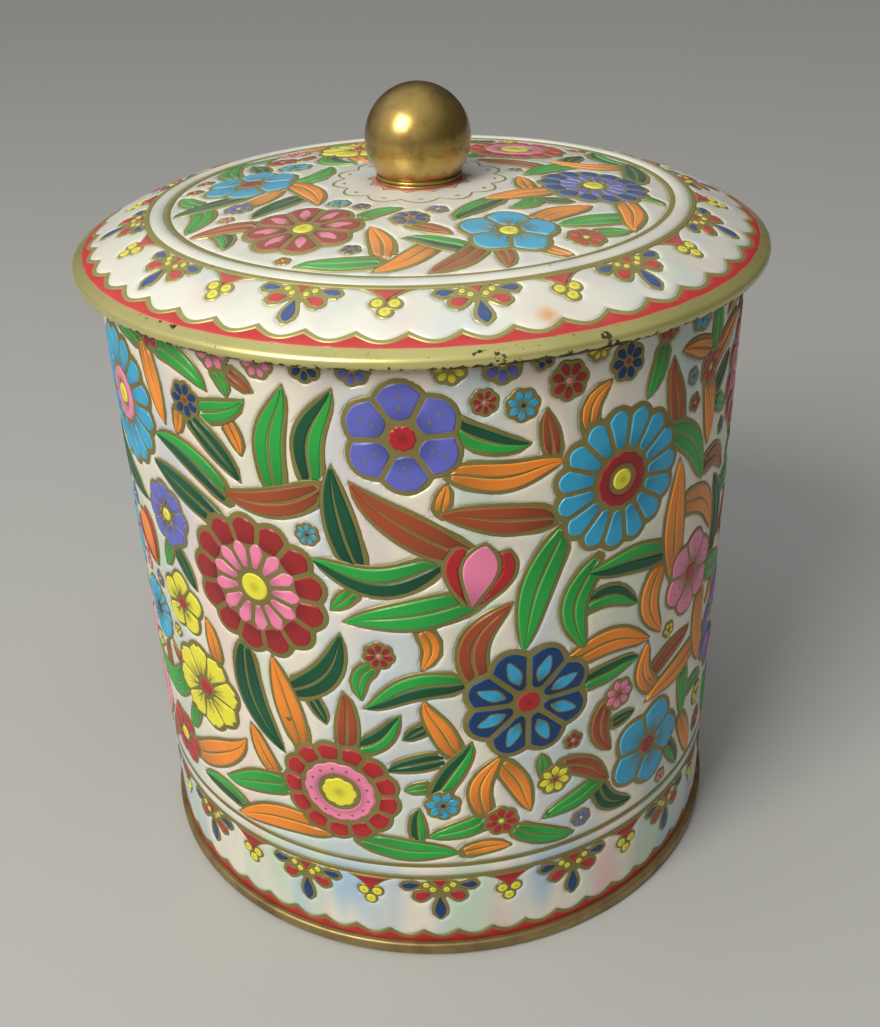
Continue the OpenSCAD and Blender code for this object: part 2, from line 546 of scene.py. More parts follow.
@dataclass(frozen=True)
class Spine:
    """A curve that sets out along u. Its heading turns evenly by bend, and sways by a sine, in degrees."""

    length: float
    bend: float = 0.0
    sway: float = 0.0

    def at(self, t: Array) -> tuple[Array, Array, Array]:
        """Follows the heading in 96 short runs.

        Args:
            t: Shares of the length.

        Returns:
            The u and v of the points, and their headings in radians.
        """
        fine = np.linspace(0.0, 1.0, 97)
        heading = np.radians(self.bend * fine + self.sway * np.sin(2.0 * np.pi * fine))
        middle = (heading[1:] + heading[:-1]) / 2.0
        run = self.length / 96.0
        u = np.append(0.0, np.cumsum(np.cos(middle))) * run
        v = np.append(0.0, np.cumsum(np.sin(middle))) * run
        return np.interp(t, fine, u), np.interp(t, fine, v), np.interp(t, fine, heading)

    def strip(self, span: tuple[float, float], rows: int, left: Curve, right: Curve, base: float, rise: float,
              across: int = 4) -> Cell:
        """A strip along the curve, between two offsets from it.

        Args:
            span: Shares of the length at which the strip starts and ends.
            rows: Points along the strip.
            left: Offset of the strip's one edge, from the share of the length.
            right: Offset of its other edge.
            base: Height that the strip lies on.
            rise: Height of the strip.
            across: Points across the strip.

        Returns:
            The strip's cell.
        """
        edge = edge_share((span[1] - span[0]) * self.length, rise)
        share = steps(rows, edge)
        t = span[0] + (span[1] - span[0]) * share
        u, v, heading = (values[:, None] for values in self.at(t))
        start, width = left(t)[:, None], (right(t) - left(t))[:, None]
        side = edge_share(float(np.abs(width).max()), rise)
        c = steps(across, side)[None, :]
        off = start + width * c
        rim = plateau(c, side) * plateau(share, edge)[:, None]
        return Cell(u - np.sin(heading) * off, v + np.cos(heading) * off, swell(rim, base, rise), rim,
                    share[:, None] + 0.0 * c)


@dataclass(frozen=True)
class PetalRing:
    """A ring of petals. Radii are shares of the flower's radius inside its gold edge.

    The power of the tip is about 4 for a square one, 2 for a round one and 1.2 for a pointed one. Ink numbers
    point into the flower's colours, and inset is the ink of a drop inside each petal, or -1 for none.
    """

    count: int
    inner: float
    outer: float
    ink: int
    power: float = 2.0
    corner: float = 0.3
    belly: float = 0.0
    teeth: int = 0
    dots: int = 0
    veins: int = 0
    inset: int = -1
    shift: float = 0.0


@dataclass(frozen=True)
class Band:
    """A disc or ring with an even or lobed edge. Radii are shares as in a ring of petals."""

    inner: float
    outer: float
    ink: int
    lobes: int = 1
    depth: float = 0.0
    dots: int = 0


@dataclass(frozen=True)
class FlowerKind:
    """How a flower is drawn: the lobes of its gold edge, and its rings of petals and bands."""

    lobes: int
    depth: float
    parts: tuple[PetalRing | Band, ...]


class Bloom(Enum):
    """The flower heads of the print."""

    DAHLIA = FlowerKind(13, 0.09, (
        PetalRing(13, 0.61, 1.0, 0, 2.4, 0.3), PetalRing(13, 0.27, 0.66, 1, 2.2, 0.3, shift=0.5),
        Band(0.0, 0.2, 2)))
    SUN = FlowerKind(15, 0.07, (
        PetalRing(15, 0.45, 1.0, 0, 2.2, 0.2), Band(0.21, 0.4, 1, 12, 0.02), Band(0.0, 0.155, 2)))
    ROSETTE = FlowerKind(8, 0.13, (
        PetalRing(8, 0.26, 1.0, 0, 2.4, 0.22, inset=1), Band(0.0, 0.19, 2)))
    ANEMONE = FlowerKind(6, 0.15, (
        PetalRing(6, 0.32, 1.0, 0, 2.6, 0.25, dots=2), Band(0.0, 0.25, 1, 9, 0.03)))
    COSMOS = FlowerKind(8, 0.1, (
        PetalRing(8, 0.27, 1.0, 0, 4.0, 0.14, teeth=3, veins=2), Band(0.0, 0.2, 1)))
    BUTTERCUP = FlowerKind(5, 0.2, (
        PetalRing(5, 0.26, 1.0, 0, 2.2, 0.32, veins=3), Band(0.0, 0.2, 1)))
    MARIGOLD = FlowerKind(13, 0.07, (
        PetalRing(13, 0.68, 1.0, 0, 2.4, 0.24), Band(0.38, 0.63, 1, 13, 0.03, dots=13),
        Band(0.0, 0.31, 2, 8, 0.03)))
    ASTER = FlowerKind(16, 0.05, (
        PetalRing(16, 0.3, 1.0, 0, 2.2, 0.12), Band(0.0, 0.24, 1, 8, 0.02)))
    POSY = FlowerKind(7, 0.1, (PetalRing(7, 0.27, 1.0, 0, 2.0, 0.25, 0.4), Band(0.0, 0.18, 1)))
    STUD = FlowerKind(5, 0.16, (PetalRing(5, 0.3, 1.0, 0, 2.0, 0.3, 0.8), Band(0.0, 0.22, 1)))
    BERRY = FlowerKind(1, 0.0, (Band(0.0, 1.0, 0),))


class Motif(ABC):
    """A printed figure with its place on a chart. A pad lies whole under the figures on it."""

    pad = False

    @abstractmethod
    def outline(self) -> Array:
        """Rows of u and v round the figure's gold edge."""

    @abstractmethod
    def cells(self) -> list[tuple[Ink, Cell]]:
        """The figure's cells, gold plates among them."""


@dataclass
class Flower(Motif):
    """A flower head seen from the front."""

    kind: Bloom
    u: float
    v: float
    size: float
    inks: tuple[Ink, ...]
    turn: float = 0.0

    @property
    def line(self) -> float:
        """Width of the gold edge."""
        return float(np.clip(0.075 * self.size, 0.42, 0.95))

    def outline(self) -> Array:
        """The lobed gold edge, turned and moved to its place.

        Returns:
            Rows of u and v round the edge.
        """
        kind = self.kind.value
        a = np.linspace(0.0, 2.0 * np.pi, 12 * max(6, kind.lobes), endpoint=False)
        r = scallop(a, self.size, kind.lobes, kind.depth * self.size)
        b = a + math.radians(self.turn)
        return np.stack([self.u + r * np.cos(b), self.v + r * np.sin(b)], axis=1)

    def petal(self, ring: PetalRing, inner: float, outer: float, halves: tuple[float, float], base: float,
              rise: float) -> Cell:
        """A petal that points along u.

        Across it, c runs from -1 to 1, and along it, t runs from 0 to 1. The tip's distance from the flower's
        centre is outer, less a corner that grows as a power of c, and less the teeth, a cosine in c. The half
        width runs evenly from the first to the second of halves, mixed by belly with a half ellipse.

        Args:
            ring: The ring that the petal belongs to.
            inner: Start of the petal on u.
            outer: End of the petal on u.
            halves: Half widths at the start and at the end.
            base: Height that the petal lies on.
            rise: Swell of the petal.

        Returns:
            The petal's cell.
        """
        big = self.size > 5.0
        length = outer - inner
        ends, sides = edge_share(length, rise), edge_share(2.0 * max(halves), rise)
        t = steps(6 if big else 5, ends)[:, None]
        c = (2.0 * steps(9 if big else 5, sides) - 1.0)[None, :]
        tip = outer - length * ring.corner * np.abs(c) ** ring.power
        if ring.teeth:
            tip = tip - 0.05 * length * (1.0 + np.cos((ring.teeth + 1.0) * np.pi * c))
        tip = np.sqrt(np.maximum(tip ** 2 - (c * halves[1]) ** 2, 0.01))
        start = inner + 0.08 * length * c ** 2
        straight = halves[0] + (halves[1] - halves[0]) * t
        ellipse = max(halves) * np.sqrt(np.clip(1.0 - (2.0 * t - 1.0) ** 2, 0.0, 1.0))
        width = (1.0 - ring.belly) * straight + ring.belly * ellipse
        rim = plateau((1.0 + c) / 2.0, sides) * plateau(t, ends)
        return Cell(start + (tip - start) * t, c * width, swell(rim, base, rise), rim, t + 0.0 * c)

    def ring_cells(self, ring: PetalRing, reach: float, rise: float) -> list[tuple[Ink, Cell]]:
        """The petals of one ring, each with its dots, veins or inset drop.

        Args:
            ring: The ring of petals.
            reach: Radius inside the gold edge.
            rise: Swell of the petals.

        Returns:
            Inks and cells about the flower's centre.
        """
        inner, outer = ring.inner * reach, ring.outer * reach
        gap = 0.7 * self.line
        length = outer - inner
        half = math.pi / ring.count
        wide = (max(inner * math.tan(half) - gap / 2.0, 0.12),
                max((outer - ring.corner * length) * math.sin(half) - gap / 2.0, 0.2))
        made = [(self.inks[ring.ink], self.petal(ring, inner, outer, wide, PLATE_H, rise))]
        top = PLATE_H + rise - 0.02
        for k in range(ring.dots):
            where = inner + length * (0.34 + 0.3 * k)
            dot = disc_cell(0.0, 0.035 * self.size, 1, 0.0, top, 0.05)
            made.append((Ink.GOLD, dot.moved(where, 0.0)))
        for k in range(ring.veins):
            side = (k - (ring.veins - 1) / 2.0) * 0.26
            vein = Spine(0.5 * length, math.degrees(0.5 * side)).strip(
                (0.0, 1.0), 5, lambda t: 0.2 * (1.0 - t) + 0.03, lambda t: 0.2 * (t - 1.0) - 0.03, top, 0.04)
            made.append((Ink.GOLD, vein.moved(inner, 0.0, side)))
        if ring.inset >= 0:
            drop = PetalRing(1, 0.0, 1.0, 0, 2.0, 0.45, 0.35)
            for ink, grow, lift in ((Ink.GOLD, 0.5 * gap, 0.0), (self.inks[ring.inset], 0.0, 0.045)):
                halves = (0.05 + grow, 0.42 * wide[1] + grow)
                cell = self.petal(drop, inner + 0.2 * length - grow, outer - 0.2 * length + grow, halves,
                                  top + lift, 0.05)
                made.append((ink, cell))
        pitch = 2.0 * math.pi / ring.count
        return [(ink, cell.moved(0.0, 0.0, pitch * (k + ring.shift)))
                for k in range(ring.count) for ink, cell in made]

    def cells(self) -> list[tuple[Ink, Cell]]:
        """The gold plate and every petal, ring and dot of the flower.

        Returns:
            Inks and cells on the chart.
        """
        kind = self.kind.value
        reach = self.size - self.line
        rise = RELIEF * float(np.clip(self.size / 8.0, 0.45, 1.0))
        plate = disc_cell(0.0, self.size, kind.lobes, kind.depth * self.size, 0.0, PLATE_H)
        made = [(Ink.GOLD, plate)]
        for part in kind.parts:
            if isinstance(part, PetalRing):
                made += self.ring_cells(part, reach, rise)
                continue
            ring = disc_cell(part.inner * reach, part.outer * reach, part.lobes, part.depth * reach,
                             PLATE_H, rise)
            made.append((self.inks[part.ink], ring))
            middle = (part.inner + part.outer) / 2.0 * reach
            dot = disc_cell(0.0, 0.032 * self.size, 1, 0.0, PLATE_H + rise - 0.02, 0.05)
            made += [(Ink.GOLD, dot.moved(middle * math.cos(a), middle * math.sin(a)))
                     for a in np.linspace(0.0, 2.0 * np.pi, part.dots, endpoint=False)]
        turn = math.radians(self.turn)
        return [(ink, cell.moved(self.u, self.v, turn)) for ink, cell in made]


@dataclass
class Blade(Motif):
    """A figure along a curve from its root, with a gold edge. Angles are in degrees.

    The number fine multiplies the points of a figure that others partly cover.
    """

    u: float
    v: float
    turn: float
    length: float
    width: float
    ink: Ink
    bend: float = 0.0
    sway: float = 0.0
    line: float = 0.66
    fine: int = 1

    @abstractmethod
    def half(self, t: Array) -> Array:
        """Half width inside the gold edge at each share t of the length."""

    def edge(self, t: Array) -> Array:
        """Half width with the gold edge, which thins a little at the root and more at the tip."""
        return self.half(t) + self.line * np.clip(9.0 * t * (1.0 - t), np.where(t < 0.5, 0.7, 0.2), 1.0)

    def spine(self) -> Spine:
        """The curve that the figure follows."""
        return Spine(self.length, self.bend, self.sway)

    def inset(self) -> tuple[float, float]:
        """Shares of the length at which the colour starts and ends."""
        return 0.9 * self.line / self.length, 1.0 - 0.9 * self.line / self.length

    def rise(self) -> float:
        """Height of the colour, less on a narrow figure."""
        return RELIEF * float(np.clip(self.width / 4.0, 0.45, 1.0))

    def outline(self) -> Array:
        """The gold edge on both sides of the curve, turned and moved to its place.

        Returns:
            Rows of u and v round the edge.
        """
        t = np.linspace(0.0, 1.0, 48)
        wide = self.edge(t)
        u, v, heading = self.spine().at(t)
        left = np.stack([u - np.sin(heading) * wide, v + np.cos(heading) * wide], axis=1)
        right = np.stack([u + np.sin(heading) * wide, v - np.cos(heading) * wide], axis=1)
        ring = np.vstack([left, right[::-1]])
        c, s = math.cos(math.radians(self.turn)), math.sin(math.radians(self.turn))
        return ring @ np.array([[c, s], [-s, c]]) + np.array([self.u, self.v])

    def fills(self, rows: int) -> list[tuple[Ink, Cell]]:
        """The coloured cells on the gold: one, or none on a bare gold figure.

        Args:
            rows: Points along a cell.

        Returns:
            Inks and cells.
        """
        if self.ink is Ink.GOLD:
            return []
        start, end = self.inset()

        def inner(t: Array) -> Array:
            """The figure's half width, drawn between the ends of the colour."""
            return self.half((t - start) / (end - start))

        return [(self.ink, self.spine().strip((start, end), rows, inner, lambda t: -inner(t), PLATE_H,
                                              self.rise(), 4 * self.fine))]

    def cells(self) -> list[tuple[Ink, Cell]]:
        """The gold plate and the coloured cells on it.

        Returns:
            Inks and cells on the chart.
        """
        rows = self.fine * int(np.clip(self.length * 0.8, 8, 16))
        across = self.fine * int(np.clip(1.2 * self.width, 4, 9))
        plate = self.spine().strip((0.0, 1.0), rows, self.edge, lambda t: -self.edge(t), 0.0, PLATE_H, across)
        turn = math.radians(self.turn)
        laid = [(Ink.GOLD, plate)] + self.fills(rows)
        return [(ink, cell.moved(self.u, self.v, turn)) for ink, cell in laid]


@dataclass
class Leaf(Blade):
    """A lance-shaped leaf with a gold rib. Its second half may have a shade of its own."""

    shade: Ink | None = None

    @staticmethod
    def lance(t: Array) -> Array:
        """A rising and a falling power of t, widest before the middle, where it is about 1."""
        return np.clip(t, 0.0, 1.0) ** 0.8 * np.clip(1.0 - t, 0.0, 1.0) ** 1.05 / 0.278

    @staticmethod
    def gold(t: Array) -> Array:
        """Width of the gold edge: a hump near the root, where leaves join, then even, and thin at the tip."""
        hump = np.clip(1.0 - np.abs(t - 0.13) / 0.2, 0.0, 1.0)
        return Leaf.line * (np.clip(9.0 * t * (1.0 - t), np.where(t < 0.5, 0.8, 0.2), 1.0) + 0.7 * hump)

    def edge(self, t: Array) -> Array:
        """Half width with the gold edge."""
        return self.half(t) + self.gold(t)

    def inset(self) -> tuple[float, float]:
        """The colour starts well inside the gold of the root."""
        return 1.5 / self.length, 1.0 - 0.9 * self.line / self.length

    def half(self, t: Array) -> Array:
        """Half the width, along the lance shape."""
        return np.maximum(self.width / 2.0 * self.lance(t), 0.02)

    def rib(self, t: Array) -> Array:
        """Half width of the gold rib, which thins towards the tip."""
        return np.minimum(0.17 * np.clip((0.9 - t) / 0.5, 0.05, 1.0), 0.5 * self.half(t))

    def fills(self, rows: int) -> list[tuple[Ink, Cell]]:
        """The two halves on each side of the rib.

        Args:
            rows: Points along a half.

        Returns:
            Inks and cells.
        """
        spine, span, rise = self.spine(), self.inset(), self.rise()
        return [(self.ink, spine.strip(span, rows, self.half, self.rib, PLATE_H, rise)),
                (self.shade or self.ink, spine.strip(span, rows, lambda t: -self.rib(t),
                                                     lambda t: -self.half(t), PLATE_H, rise))]


@dataclass
class Drop(Blade):
    """A drop, pointed at its root and round at its end."""

    def half(self, t: Array) -> Array:
        """A sine of a power of t, widest past the middle."""
        wave = np.clip(np.sin(np.pi * np.clip(t, 0.0, 1.0) ** 1.5), 0.0, 1.0)
        return np.maximum(self.width / 2.0 * wave ** 0.75, 0.02)


@dataclass
class Pad(Drop):
    """A gold drop that lies under others."""

    pad = True


@dataclass
class Bracket(Blade):
    """A bracket that hangs from a line: wide at its root, with hollow sides, and drawn in to a point."""

    def half(self, t: Array) -> Array:
        """A falling power of t."""
        return np.maximum(self.width / 2.0 * np.clip(1.0 - t, 0.0, 1.0) ** 1.6, 0.02)

    def inset(self) -> tuple[float, float]:
        """The colour starts close under the line."""
        return 0.4 * self.line / self.length, 1.0 - 0.9 * self.line / self.length

    def edge(self, t: Array) -> Array:
        """Half width with the gold edge, which flares out along the line."""
        return self.half(t) + self.line * (0.75 + 2.2 * np.clip(1.0 - t, 0.0, 1.0) ** 7)


def tulip(u: float, v: float, turn: float, size: float, inks: tuple[Ink, Ink]) -> list[Motif]:
    """A cup-shaped flower seen from the side: a middle drop over two that lean out.

    Args:
        u: Foot of the flower.
        v: Foot of the flower.
        turn: Heading of the flower, in degrees.
        size: Length of the flower.
        inks: Ink of the middle drop and of the outer two.

    Returns:
        The drops, the upper one first.
    """
    return [Drop(u, v, turn, size, 0.46 * size, inks[0], fine=2),
            Drop(u, v, turn + 30.0, size, 0.4 * size, inks[1], -22.0, fine=3),
            Drop(u, v, turn - 30.0, size, 0.4 * size, inks[1], 22.0, fine=3)]


def pendant(u: float, v: float, wide: float, tall: float) -> list[Motif]:
    """A hanging border ornament: berries, two red drops and three blue ones.

    Args:
        u: Its middle.
        v: The line that it hangs from.
        wide: Scale along the border.
        tall: Scale down the border.

    Returns:
        Its figures, the upper ones first.
    """
    def drop(x: float, y: float, turn: float, length: float, width: float, ink: Ink,
             line: float = 0.7) -> Drop:
        """One drop of the ornament."""
        return Drop(u + x * wide, v + y * tall, turn, length * wide, width * wide, ink, line=line * wide)

    def berry(x: float, y: float, size: float) -> Flower:
        """One berry of the ornament."""
        return Flower(Bloom.BERRY, u + x * wide, v + y * tall, size * wide, (Ink.YELLOW,))

    made: list[Motif] = [drop(0.0, -3.8, -90.0, 7.0 * tall / wide, 2.2, Ink.NAVY, 0.62)]
    for side in (-1.0, 1.0):
        made.append(berry(side * 1.25, -2.5, 1.05))
        made.append(berry(side * 2.45, -1.35, 1.05))
        made.append(drop(side * 1.0, -3.2, -90.0 + side * 68.0, 4.6, 2.3, Ink.RED))
        made.append(drop(side * 3.1, -1.3, -90.0 + side * 84.0, 4.4, 1.7, Ink.NAVY))
    made.append(Bracket(u, v + 0.1, -90.0, 3.0 * tall, 2.8 * wide, Ink.RED, line=0.5 * wide))
    made.append(Pad(u, v - 5.2 * tall, 90.0, 5.6 * tall, 7.6 * wide, Ink.GOLD))
    return made


def trefoil(u: float, v: float, wide: float, tall: float) -> list[Motif]:
    """A small border ornament: a red bracket on the line, over three berries.

    Args:
        u: Its middle.
        v: The line that it hangs from.
        wide: Scale along the border.
        tall: Scale down the border.

    Returns:
        Its figures, the upper ones first.
    """
    made: list[Motif] = [Flower(Bloom.BERRY, u + x * wide, v + y * tall, 1.5 * wide, (Ink.YELLOW,))
                         for x, y in ((-1.4, -4.0), (1.4, -4.0), (0.0, -6.2))]
    made.append(Bracket(u, v + 0.1, -90.0, 4.4 * tall, 7.4 * wide, Ink.RED, line=0.6 * wide, fine=2))
    return made


# Space between a sheet's places, free distance on an empty sheet, and how far beside a figure it is measured
PITCH = 0.4
FAR = 9.0
NEAR = 7.0


class Layout:
    """Figures on one flat sheet, and how far each place of the sheet is from the nearest of them."""

    def __init__(self, low: tuple[float, float], high: tuple[float, float], pitch: float,
                 period: float | None = None, seed: int = 0) -> None:
        """Starts an empty sheet.

        Args:
            low: Lowest u and v.
            high: Highest u and v.
            pitch: Aim for the space between the places.
            period: Length after which the sheet repeats in u, or None.
            seed: Start of the random draws.
        """
        self.period = period
        self.draw = np.random.default_rng(seed)
        self.top = math.inf
        self.reach = math.inf
        nu = int(round((high[0] - low[0]) / pitch))
        nv = int(round((high[1] - low[1]) / pitch))
        self.u = low[0] + (high[0] - low[0]) * np.arange(nu + (0 if period else 1)) / nu
        self.v = np.linspace(low[1], high[1], nv + 1)
        self.free = np.full((len(self.u), len(self.v)), FAR)
        self.motifs: list[Motif] = []
        self.outlines: list[Array] = []

    def offset(self, u: Array | float) -> Array | float:
        """A difference in u, taken the short way round where the sheet repeats."""
        return u if self.period is None else u - self.period * np.round(u / self.period)

    def carve(self, ring: Array) -> None:
        """Lowers the free distance near a figure's edge, and to below 0 inside it.

        Args:
            ring: Rows of u and v round the figure.
        """
        centre = (ring.min(axis=0) + ring.max(axis=0)) / 2.0
        size = (ring.max(axis=0) - ring.min(axis=0)) / 2.0 + NEAR
        near_u = np.where(np.abs(self.offset(self.u - centre[0])) <= size[0])[0]
        near_v = np.where(np.abs(self.v - centre[1]) <= size[1])[0]
        if not len(near_u) or not len(near_v):
            return
        at_u = centre[0] + self.offset(self.u[near_u] - centre[0])
        grid = np.stack(np.meshgrid(at_u, self.v[near_v], indexing="ij"), axis=-1).reshape(-1, 2)
        gap = np.sqrt(((grid[:, None, :] - ring[None, :, :]) ** 2).sum(axis=-1)).min(axis=1)
        gap = np.where(inside(grid, ring), -gap, gap)
        window = np.ix_(near_u, near_v)
        self.free[window] = np.minimum(self.free[window], gap.reshape(len(near_u), len(near_v)))

    def add(self, *motifs: Motif) -> None:
        """Puts figures on the sheet, each under those already there.

        Args:
            motifs: The figures, the upper ones first.
        """
        for motif in motifs:
            ring = motif.outline()
            self.motifs.append(motif)
            self.outlines.append(ring)
            self.carve(ring)

    def room(self, u: Array, v: Array) -> Array:
        """Free distance at any places, from the nearest stored ones.

        Args:
            u: Places in u.
            v: Places in v.

        Returns:
            Distances, one for each place.
        """
        i = np.round((u - self.u[0]) / (self.u[1] - self.u[0])).astype(int)
        i = i % len(self.u) if self.period else np.clip(i, 0, len(self.u) - 1)
        j = np.clip(np.round((v - self.v[0]) / (self.v[1] - self.v[0])).astype(int), 0, len(self.v) - 1)
        return self.free[i, j]

    def sow(self, inks: tuple[tuple[Ink, Ink], ...], largest: float, smallest: float, most: int) -> None:
        """Puts a small flower in each of the emptiest places, one after another, as large as its room.

        Args:
            inks: Pairs of petal and centre inks, taken in turn.
            largest: Largest radius of a flower.
            smallest: Smallest radius, at which the sowing stops.
            most: Most flowers to put down.
        """
        medium = (Bloom.ASTER, Bloom.ANEMONE, Bloom.COSMOS, Bloom.BUTTERCUP)
        for k in range(most):
            i, j = np.unravel_index(np.argmax(self.free), self.free.shape)
            size = min(float(self.free[i, j]) - 0.7, largest)
            if size < smallest:
                break
            petals, centre = inks[len(self.motifs) % len(inks)]
            kind = medium[k % 4] if size > 4.4 else Bloom.POSY if size > 2.2 else Bloom.STUD
            self.add(Flower(kind, float(self.u[i]), float(self.v[j]), size, (petals, centre), 23.0 * k))

    def grow(self, inks: tuple[tuple[Ink, Ink], ...], longest: float, shortest: float, most: int) -> None:
        """Grows leaves out of the figures, each where a large one fits.

        A try is a leaf with its root under the edge of a figure and a random depth, heading, length, bend and
        sway. It fits where the free distance along its rib, past the root, stays over its half width and a
        margin, though its tip may reach under another figure. The longest with the least spare room is kept,
        and more are then tried from the same root.

        Args:
            inks: Pairs of inks for the halves of a leaf, taken in turn.
            longest: Longest leaf.
            shortest: Shortest leaf.
            most: Most leaves to grow.
        """
        tries, margin, tip, deepest = 14000, 0.3, 1.8, 0.2
        t = np.linspace(0.0, 1.0, 16)
        root: Array | None = None
        grown = 0
        while grown < most:
            edges = np.vstack(self.outlines)
            if root is not None:
                far = np.hypot(self.offset(edges[:, 0] - root[0]), edges[:, 1] - root[1])
                edges = edges[far < 2.0]
            pick = edges[self.draw.integers(len(edges), size=tries)]
            head, bend, sway = (self.draw.uniform(-span, span, (tries, 1)) for span in (180.0, 75.0, 18.0))
            length = self.draw.uniform(shortest, longest, (tries, 1))
            width = 0.18 * length + 1.0
            under = 0.7 + self.draw.uniform(0.0, deepest, (tries, 1)) * length
            turn = np.radians(head + bend * t + sway * np.sin(2.0 * np.pi * t))
            run = length / (len(t) - 1.0)
            middle = (turn[:, 1:] + turn[:, :-1]) / 2.0
            foot = pick - under * np.stack([np.cos(turn[:, 0]), np.sin(turn[:, 0])], axis=1)
            u = foot[:, :1] + np.cumsum(np.cos(middle) * run, axis=1)
            v = foot[:, 1:] + np.cumsum(np.sin(middle) * run, axis=1)
            spare = self.room(u, v) - width / 2.0 * Leaf.lance(t[1:]) - Leaf.gold(t[1:])
            spare = np.where((1.0 - t[1:]) * length < tip, spare + tip, spare)
            spare = np.where(t[1:] * length < under + 0.8 + 0.12 * length, 0.9, spare)
            fits = (spare.min(axis=1) > margin) & (v.max(axis=1) < self.top + 3.0) & (foot[:, 1] < self.top)
            if not fits.any():
                if root is None:
                    break
                root = None
                continue
            best = int(np.argmax(np.where(fits, length[:, 0] - 3.0 * spare.mean(axis=1), -np.inf)))
            root = pick[best]
            place = [float(value) for value in (*foot[best], head[best, 0], length[best, 0], width[best, 0])]
            curve = [float(value) for value in (bend[best, 0], sway[best, 0])]
            ink, shade = inks[len(self.motifs) % len(inks)]
            self.add(Leaf(*place, ink, *curve, shade=shade))
            grown += 1

    def level_gaps(self) -> None:
        """Takes the free distance to 0 in gaps that are too narrow for the ground to be pressed up.

        A gap's width shows in the largest free distance within three places of each place.
        """
        widest = self.free
        for axis in (0, 1):
            widest = np.max([np.roll(widest, k, axis=axis) for k in range(-3, 4)], axis=0)
        share = np.clip((widest - 0.45) / 0.4, 0.0, 1.0)
        self.free = np.where(self.free > 0.0, self.free * share, self.free)

    def free_at(self, u: Array, v: Array) -> Array:
        """Free distance at any places, mixed from the four nearest stored ones.

        Args:
            u: Places in u.
            v: Places in v, of a shape that goes with u.

        Returns:
            Distances, one for each place.
        """
        su = (u - self.u[0]) / (self.u[1] - self.u[0])
        sv = np.clip((v - self.v[0]) / (self.v[1] - self.v[0]), 0.0, len(self.v) - 1.001)
        if self.period is None:
            su = np.clip(su, 0.0, len(self.u) - 1.001)
        su, sv = np.broadcast_arrays(su, sv)
        i, j = np.floor(su).astype(int), np.floor(sv).astype(int)
        p, q = su - i, sv - j
        n = len(self.u)
        low = self.free[i % n, j] * (1.0 - p) + self.free[(i + 1) % n, j] * p
        high = self.free[i % n, j + 1] * (1.0 - p) + self.free[(i + 1) % n, j + 1] * p
        return low * (1.0 - q) + high * q


def ground_height(free: Array) -> Array:
    """Height of the bare ground: sunk under figures, and level from a little way beside them."""
    away = np.clip((free + 0.15) / 0.75, 0.0, 1.0)
    return -0.12 + 0.2 * away * away * (3.0 - 2.0 * away)


class Print:
    """Gathers cells by ink and makes one piece of each."""

    def __init__(self) -> None:
        """Starts with no cells."""
        self.parts: dict[Ink, list[tuple[Array, ...]]] = {}

    def put(self, ink: Ink, chart: Chart, cell: Cell) -> None:
        """Lays one cell on a chart, with its faces turned away from the tin.

        Args:
            ink: Ink of the cell.
            chart: Chart that places it.
            cell: The cell.
        """
        rows, cols = cell.u.shape
        faces = grid_faces(rows, cols, cell.wrap)
        flat = np.stack([cell.u.ravel(), cell.v.ravel()], axis=1)
        points = chart.place(cell.u, cell.v, cell.h).reshape(-1, 3)
        a, b, c = points[faces[:, 0]], points[faces[:, 1]], points[faces[:, 2]]
        size = np.linalg.norm(np.cross(b - a, c - a), axis=1)
        a, b, c = flat[faces[:, 0]], flat[faces[:, 1]], flat[faces[:, 2]]
        area = (b[:, 0] - a[:, 0]) * (c[:, 1] - a[:, 1]) - (b[:, 1] - a[:, 1]) * (c[:, 0] - a[:, 0])
        keep = size > 1e-5
        if np.median(np.sign(area[keep])) < 0.0:
            faces = faces[:, ::-1]
        if cell.gone is not None:
            keep &= ~cell.gone.ravel()[faces].all(axis=1)
        if keep.any():
            self.parts.setdefault(ink, []).append((points, faces[keep], cell.rim.ravel(), cell.along.ravel()))

    def put_layout(self, chart: Chart, layout: Layout, shifts: tuple[float, ...]) -> None:
        """Lays every figure of a layout, clipped by those above it.

        Args:
            chart: Chart that places the figures.
            layout: The figures.
            shifts: Moves in u at which the whole layout is laid.
        """
        for k, motif in enumerate(layout.motifs):
            above = [] if motif.pad else layout.outlines[:k]
            for ink, cell in motif.cells():
                cell = cell.lifted(-0.03) if motif.pad else cell
                shown = cell.clipped(above, layout.top, layout.reach, layout.offset)
                for shift in shifts:
                    self.put(ink, chart, shown.moved(shift, 0.0))

    def pieces(self, prefix: str) -> dict[Ink, Object]:
        """Makes one object of each ink, with the rim and along values of its points as attributes.

        Args:
            prefix: First words of the pieces' names.

        Returns:
            The objects, by ink.
        """
        made = {}
        for ink, parts in self.parts.items():
            start = np.cumsum([0] + [len(part[0]) for part in parts])
            points, rim, along = (np.concatenate([part[k] for part in parts]) for k in (0, 2, 3))
            faces = np.vstack([part[1] + first for part, first in zip(parts, start)])
            used, number = np.unique(faces, return_inverse=True)
            made[ink] = make_object(f"{prefix}_{ink.value}", points[used], number.reshape(-1, 3), solid=False,
                                    rim=rim[used], along=along[used])
        return made


